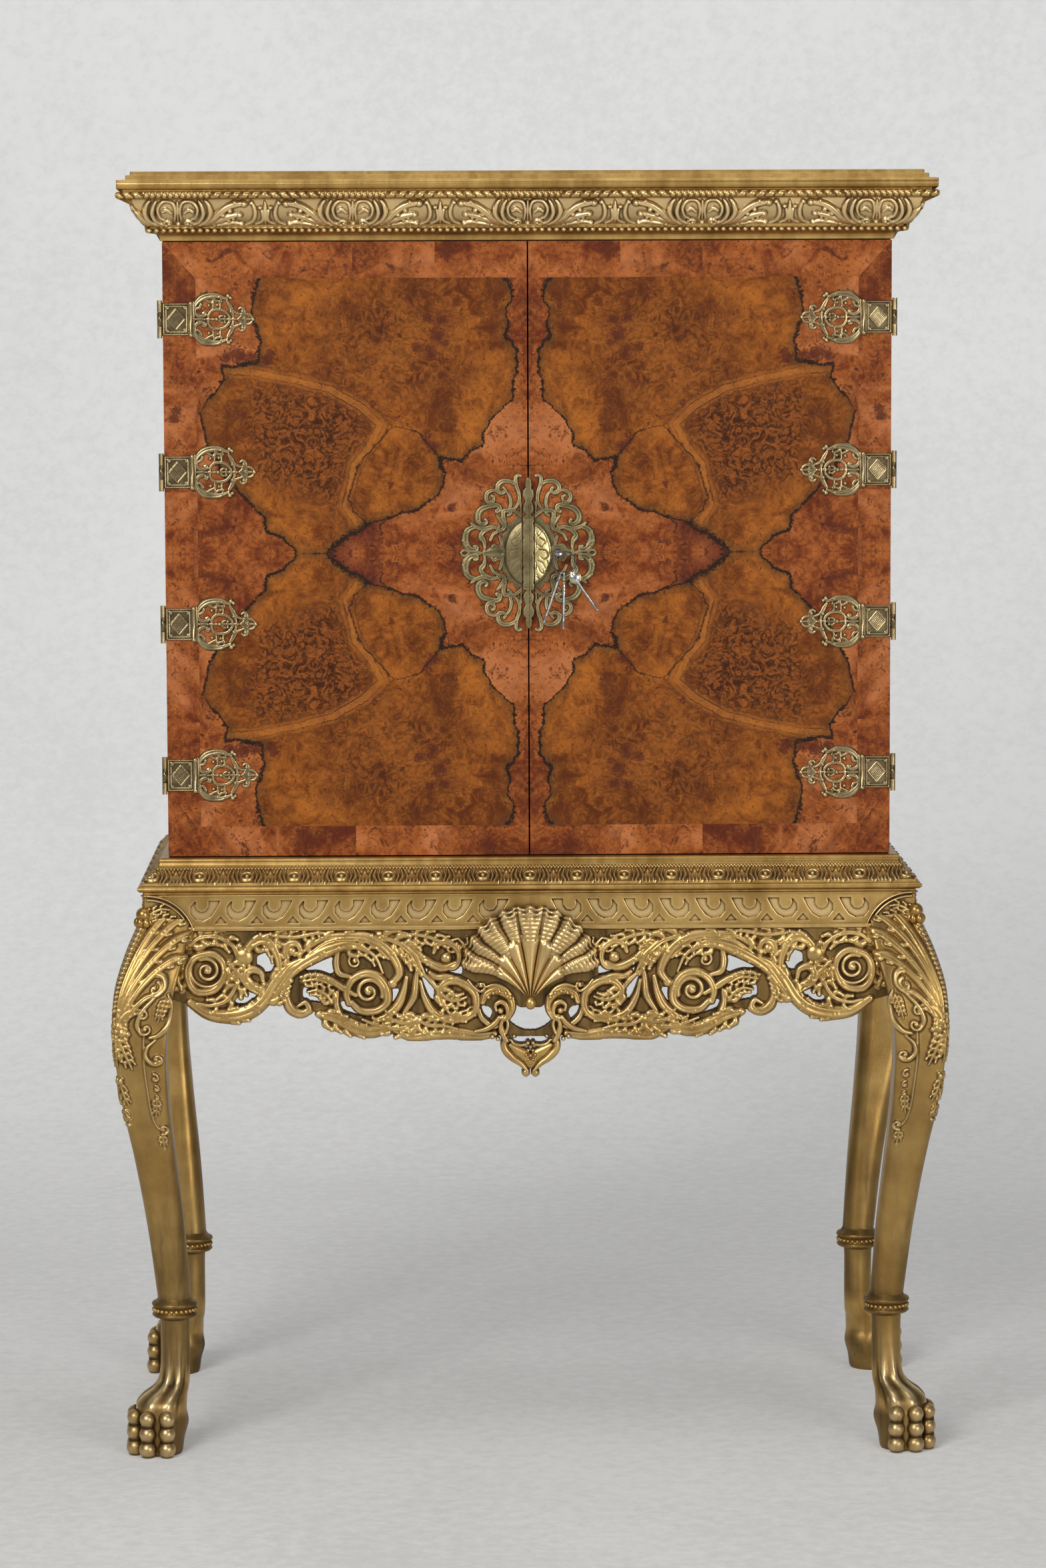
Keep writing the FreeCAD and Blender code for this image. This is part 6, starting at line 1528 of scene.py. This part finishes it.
boss_lines = [[(12, 34), (17, 28), (13, 22), (10, 26)], [(14, 20), (21, 15), (17, 8), (12, 11)],
              [(13, 5), (22, 3), (25, -4), (20, -8), (15, -5)], [(11, -9), (18, -13), (22, -20)],
              [(12, -17), (15, -24), (20, -27), (18, -21)], [(11, -28), (14, -34), (10, -31)],
              [(20, 26), (24, 18), (22, 12)], [(24, -10), (26, -16), (22, -24)],
              [(9, 16), (10, 10), (9, 2)], [(9, -22), (10, -16), (9, -10)]]
plate_grid = (8, 90, -102, 102, 0.62)
boss_wide, boss_tall = 30.5, 41.5
plate_half = Carving(*plate_grid)
plate_half.depth = 0.8
for hand in (1, -1):
    for widths, points in plate_lines:
        plate_half.stroke([(u, v * hand) for u, v in points], [w * cast_widening for w in widths],
                          [1.7], base=0.9, groove=0.3, flat=0.4)
    for u, v, radius in ((31.5, 83, 2.4), (46.5, 72.5, 2.2), (55, 42.5, 2.4), (69.5, 8.6, 2.2),
                         (26, 48, 2.4), (9.5, 98, 2.2), (78, 26, 1.6)):
        plate_half.dome(u, v * hand, radius, 1.8, 0.9)
ring_u, ring_v = np.meshgrid(plate_half.u, plate_half.v)
oval = np.hypot(ring_u / boss_wide, ring_v / boss_tall)
spikes = 1.12 + 0.10 * np.abs(np.sin(np.arctan2(ring_v / boss_tall, ring_u / boss_wide) * 10))
plate_half.reach = np.maximum(plate_half.reach, (spikes - oval) * 30)
raised = np.where(oval < spikes, np.maximum(plate_half.height, plate_level), plate_half.height)
dome = plate_level + 4.6 * np.sqrt(np.clip(1 - oval ** 2, 0, 1)) ** 0.8
plate_half.height = np.where(oval < 1, dome, raised)
engraved = Carving(*plate_grid)
for hand in (1, -1):
    engraved.stroke([(boss_wide * 0.9 * math.sin(a), boss_tall * 0.9 * math.cos(a)) for a in
                     np.linspace(0.25, 1.6, 12)][::hand], [0.8], [1.0])
for line in boss_lines:
    engraved.stroke(line, [1.0, 1.3, 0.7], [1.0])
engraved.stroke([(29.3 * math.sin(a), 39.8 * math.cos(a)) for a in np.linspace(0.2, 2.94, 30)],
                [0.9], [1.0])
cut = engraved.height * (oval < 1)
keyhole_u = 38
for side, hand in (("left", -1), ("right", 1)):
    half = Carving(*plate_grid)
    half.height, half.reach = plate_half.height.copy(), plate_half.reach.copy()
    half.depth = plate_half.depth
    half.height -= cut * (0.45 if side == "right" else 0.10)
    if side == "right":
        half.dome(keyhole_u, 0, 12, 1.2, plate_level)
        from_key = half.u - keyhole_u
        half.height -= 2.0 * ((np.hypot(from_key, (half.v - 2)[:, None]) < 2.6)
                              | ((np.abs(from_key) < 1.4) & (np.abs(half.v + 2) < 5)[:, None]))
    (points, faces, marks), = fretwork(half, leaf_front, leaf_back)
    engrave = engraved.read(cut, np.abs(points[:, 0]), points[:, 2])
    marks["shade_and_patina"] = np.maximum(marks["shade_and_patina"] * 0.9, np.clip(engrave, 0, 1)
                                 * (0.95 if side == "right" else 0.25))
    rim_shade = np.clip(1 - half.read(half.reach, np.abs(points[:, 0]), points[:, 2]) / 1.1, 0, 1)
    ring_at = np.hypot(points[:, 0] / boss_wide, points[:, 2] / boss_tall)
    ring_shade = np.exp(-((ring_at - 1.30) / 0.28) ** 2)
    marks["shade_and_patina"] = np.maximum(marks["shade_and_patina"], np.maximum(rim_shade * 0.8, ring_shade * 0.5))
    points = (points + (0, 0, lock_z)) * (hand, 1, 1) * mm
    made = make_mesh("scroll_plate_" + side, points, faces if hand > 0 else faces[:, ::-1],
                     lock_brass, marks)
    if side == "right":
        made.data.materials.append(boss_gold)
        on_boss = ring_at[np.array([p.vertices[:] for p in made.data.polygons])] < 1.0
        made.data.polygons.foreach_set("material_index", on_boss.all(1).astype(np.int32))
    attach(made, side + "_door")
    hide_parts("lock_plate_" + side)
strip_shape = [(96.4, 1.2), (94, 3.7), (87, 4.8), (83, 4.0), (79.5, 7.4), (73, 8.0), (68.4, 5.6),
               (66, 4.6), (60, 7.0), (56, 7.6), (52, 6.4), (50, 4.0), (48, 3.8), (46, 8.0),
               (40, 8.0), (38, 7.0), (34, 7.8), (22, 7.9), (19, 7.0), (16, 7.9), (3, 8.0),
               (0, 7.0)]
heights_v, widths_v = np.array(strip_shape)[::-1].T
for side, hand in (("left", -1), ("right", 1)):
    c = Carving(-0.8 if side == "left" else 1, 8.2, -96.5, 96.5, 0.4)
    wide = np.interp(np.abs(c.v), heights_v, widths_v)[:, None]
    share = np.clip(np.abs(c.u) / wide, 0, 1)
    c.height = 6.2 + 2.0 * np.sqrt(1 - np.clip((share - 0.62) / 0.38, 0, 1) ** 2) + 0 * wide
    c.height += np.where(np.abs(c.v) > 47, -1.2, 0.2)[:, None]
    c.height -= 0.8 * (np.abs(np.abs(c.v) - 44.5) < 1.2)[:, None]
    c.reach = np.broadcast_to(wide, c.height.shape) - c.u
    if side == "right":
        for place in (-60, 60):
            c.dome(1, place, 2.2, 0.6, 7.8)
    (points, faces, marks), = fretwork(c, leaf_front, leaf_back)
    made = make_mesh("meeting_strip_" + side, (points + (0, 0, lock_z)) * (hand, 1, 1) * mm,
                     faces if hand > 0 else faces[:, ::-1], lock_brass, marks)
    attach(made, side + "_door")
    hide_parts("closing_strip_" + side)


# The plain parts keep the frame's own solids: the boards of the case, the shelves and their pegs,
# the back rail and blocks of the stand, the keys, the bolts and the small brass of the hinges.
def timber(name, dark, light):
    """Plain planed wood, with its grain running across the cabinet."""
    r = Recipe(name)
    spot = r.place()
    grain = r.noise(spot * (6.0, 90.0, 90.0), 1.0, 5.0, 0.6, 0.4)
    cloud = r.noise(spot, 5.0, 3.0, 0.5)
    colour = r.mix(r.step(grain * 0.7 + cloud * 0.3, 0.36, 0.66), dark, light)
    return r.finish(bump=grain, strength=0.1, Base_Color=colour, Roughness=0.55 + grain * 0.15)


def steel(name, base, rough):
    """Old polished steel with a little wear."""
    r = Recipe(name)
    wear = r.noise(r.place(), 240.0, 4.0, 0.6)
    colour = r.mix(r.step(wear, 0.40, 0.70), base, tuple(v * 0.55 for v in base))
    return r.finish(bump=wear, strength=0.08, Base_Color=colour, Metallic=0.95,
                    Roughness=rough + wear * 0.12)


case_wood = timber("case_wood", (0.095, 0.040, 0.018), (0.235, 0.115, 0.052))
bright_steel = steel("bright_steel", (0.50, 0.50, 0.50), 0.20)
dark_steel = steel("dark_steel", (0.13, 0.12, 0.125), 0.30)
dull_brass = brass("dull_brass", (0.05, 0.035, 0.015), (0.28, 0.20, 0.09), (0.46, 0.34, 0.17), 0.32)
finishes = {case_wood: ("case_top_board", "case_bottom_board", "case_back_panel", "shelf_lower",
                        "shelf_upper", "shelf_pegs", "corner_blocks", "stand_bearers",
                        "cornice_dust_board"),
            side_walnut: ("case_side_left", "case_side_right", "door_left", "door_right"),
            plain_gilt: ("frieze_rail_back",),
            dull_brass: ("hinge_wings_left", "hinge_wings_right", "hinge_pins_left",
                         "hinge_pins_right", "door_bolt_guides"),
            dark_steel: ("key_ring",),
            bright_steel: ("key", "spare_key_left", "spare_key_middle", "spare_key_right",
                           "lock_bolt", "lock_case", "door_bolt_upper", "door_bolt_lower")}
for finish, names in finishes.items():
    for node_name in names:
        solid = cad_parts[node_name]
        solid.data.materials.clear()
        solid.data.materials.append(finish)

# The bow of the right spare key: a polished steel disc in a gilt rim, and the gilt collars on the
# shank of the middle one
low, high = (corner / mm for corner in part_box("spare_key_right"))
disc = [(0.01, -1.3), (6.2, -1.3), (6.6, -0.9), (6.6, 0.9), (6.2, 1.3), (0.01, 1.6)]
edge = [(6.5, -1.6), (7.6, -1.6), (8.0, -0.8), (8.0, 0.8), (7.6, 1.6), (6.5, 1.6)]
centre = (low.x + 9.0, (low.y + high.y) / 2, high.z - 11.0)
for name, profile, finish in (("bow_disc", disc, bright_steel), ("bow_rim", edge, boss_gold)):
    build(name, [lathe(profile[::-1], centre, axis="y", count=36)], finish, "spare_right")
low, high = (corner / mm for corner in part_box("spare_key_middle"))
collars = [lathe([(0.01, -1.5), (2.2, -1.5), (2.9, 0), (2.2, 1.5), (0.01, 1.5)],
                 ((low.x + high.x) / 2, (low.y + high.y) / 2, high.z - place), count=20)
           for place in (11.0, 15.0, 24.0)]
build("key_collars", collars, boss_gold, "spare_middle")

# Camera, as the photograph was taken: a little below the cornice and to the left of the middle, and
# 6.6 m in front. Its place, aim and lens are solved from the photograph's own perspective.
focal_pixels, photo_pixels, film = 7460.1, 2351, 36.0
lens_data = bpy.data.cameras.new("camera")
lens_data.sensor_width = film
lens_data.lens = film * focal_pixels / photo_pixels
camera = bpy.data.objects.new("camera", lens_data)
bpy.context.scene.collection.objects.link(camera)
camera.location = (-0.11932, -6.5815, 1.53416)
heading, pitch, roll = -0.0175, 0.1044, 0.0036
ahead0 = Vector((-math.sin(heading), math.cos(heading), 0))
right0 = Vector((math.cos(heading), math.sin(heading), 0))
ahead = math.cos(pitch) * ahead0 + Vector((0, 0, -math.sin(pitch)))
up0 = math.sin(pitch) * ahead0 + Vector((0, 0, math.cos(pitch)))
right = math.cos(roll) * right0 - math.sin(roll) * up0
up = math.sin(roll) * right0 + math.cos(roll) * up0
camera.rotation_mode = "QUATERNION"
camera.rotation_quaternion = Matrix((right, up, -ahead)).transposed().to_quaternion()
bpy.context.scene.camera = camera

# Floor and wall, one pale sheet that turns up behind the cabinet. It glows with painted light for
# the camera, brighter up the wall than on the floor, so that it is as pale as in the photograph
# without more light on the cabinet, and more faintly and evenly in reflections. It is clear from
# behind.
floor_reach, wall_height, bend_start, bend_radius = 9.0, 8.0, 1.6, 2.2
curve = np.radians(np.linspace(0, 90, 60))
quarter = np.stack([bend_start + bend_radius * np.sin(curve),
                    bend_radius - bend_radius * np.cos(curve)], 1)
sweep = np.concatenate([[(-floor_reach, 0.0)], quarter, [(bend_start + bend_radius, wall_height)]])
sheet_points = np.stack([np.column_stack([np.full(len(sweep), x), sweep])
                         for x in (floor_reach, -floor_reach)])
plaster = Recipe("plaster")
spot = plaster.place()
blotch = plaster.noise(spot, 1.4, 6.0, 0.6)
speck = plaster.noise(spot, 46.0, 6.0, 0.75)
plaster_colour = plaster.mix(plaster.step(blotch * 0.4 + speck * 0.6, 0.38, 0.62),
                             (0.575, 0.57, 0.555), (0.70, 0.695, 0.68))
seen = plaster.node("ShaderNodeLightPath", {}, {}, "Is Camera Ray")
mirrored = plaster.node("ShaderNodeLightPath", {}, {}, "Is Glossy Ray")
height, away = (plaster.node("ShaderNodeSeparateXYZ", {}, {0: spot}, key) for key in "ZY")
# painted light: the glow grows from dark on the floor to pale up the wall, and reflections see a
# fainter even glow
rise = plaster.step(height + away * 0.25, -0.5, 1.2)
glow = plaster.mix(rise, (0.105, 0.103, 0.099), (0.335, 0.337, 0.339))
glow = plaster.mix(seen, plaster.mix(mirrored, (0.0, 0.0, 0.0), (0.17, 0.168, 0.163)), glow)
behind = plaster.node("ShaderNodeNewGeometry", {}, {}, "Backfacing") * seen
sheet = plaster.node("ShaderNodeMixShader", {}, {
    0: behind, 1: Tint(plaster, plaster.shader.outputs["BSDF"]),
    2: plaster.node("ShaderNodeBsdfTransparent", {}, {}, "BSDF")}, "Shader")
plaster.feed(plaster.tree.nodes["Material Output"].inputs["Surface"], sheet)
backdrop = make_mesh("backdrop", sheet_points, grid_faces(2, len(sweep)),
                     plaster.finish(bump=speck, strength=0.1, Base_Color=plaster_colour,
                                    Roughness=0.8, Emission_Color=glow, Emission_Strength=1.0))

# Soft studio light from three square lamps that the camera doesn't see: a strong one high on the
# left, a weaker one low on the right and a faint one above. The room gives a dim light, and the
# camera sees it pale.
for name, place, aim, size, power in (
        ("key_light", (-2.2, -4.8, 3.2), (0, 0, 0.9), 2.2, 185),
        ("fill_light", (2.6, -5.0, 1.3), (0, 0, 0.8), 1.8, 85),
        ("top_light", (0.2, -0.8, 4.2), (0, 0.2, 0.6), 2.6, 28)):
    data = bpy.data.lights.new(name, "AREA")
    data.size, data.energy = size, power
    lamp = bpy.data.objects.new(name, data)
    bpy.context.scene.collection.objects.link(lamp)
    lamp.location = place
    lamp.visible_camera = False
    lamp.rotation_mode = "QUATERNION"
    lamp.rotation_quaternion = (Vector(aim) - Vector(place)).to_track_quat("-Z", "Y")
world = bpy.data.worlds.new("room")
world.use_nodes = True
room, links = world.node_tree.nodes, world.node_tree.links
pick = room.new("ShaderNodeMix")
pick.data_type = "RGBA"
pick.inputs[6].default_value = (0.160, 0.162, 0.166, 1)
pick.inputs[7].default_value = (0.56, 0.555, 0.54, 1)
links.new(room.new("ShaderNodeLightPath").outputs["Is Camera Ray"], pick.inputs[0])
links.new(pick.outputs[2], room["Background"].inputs["Color"])
bpy.context.scene.world = world
bpy.context.scene.view_settings.view_transform = "Standard"
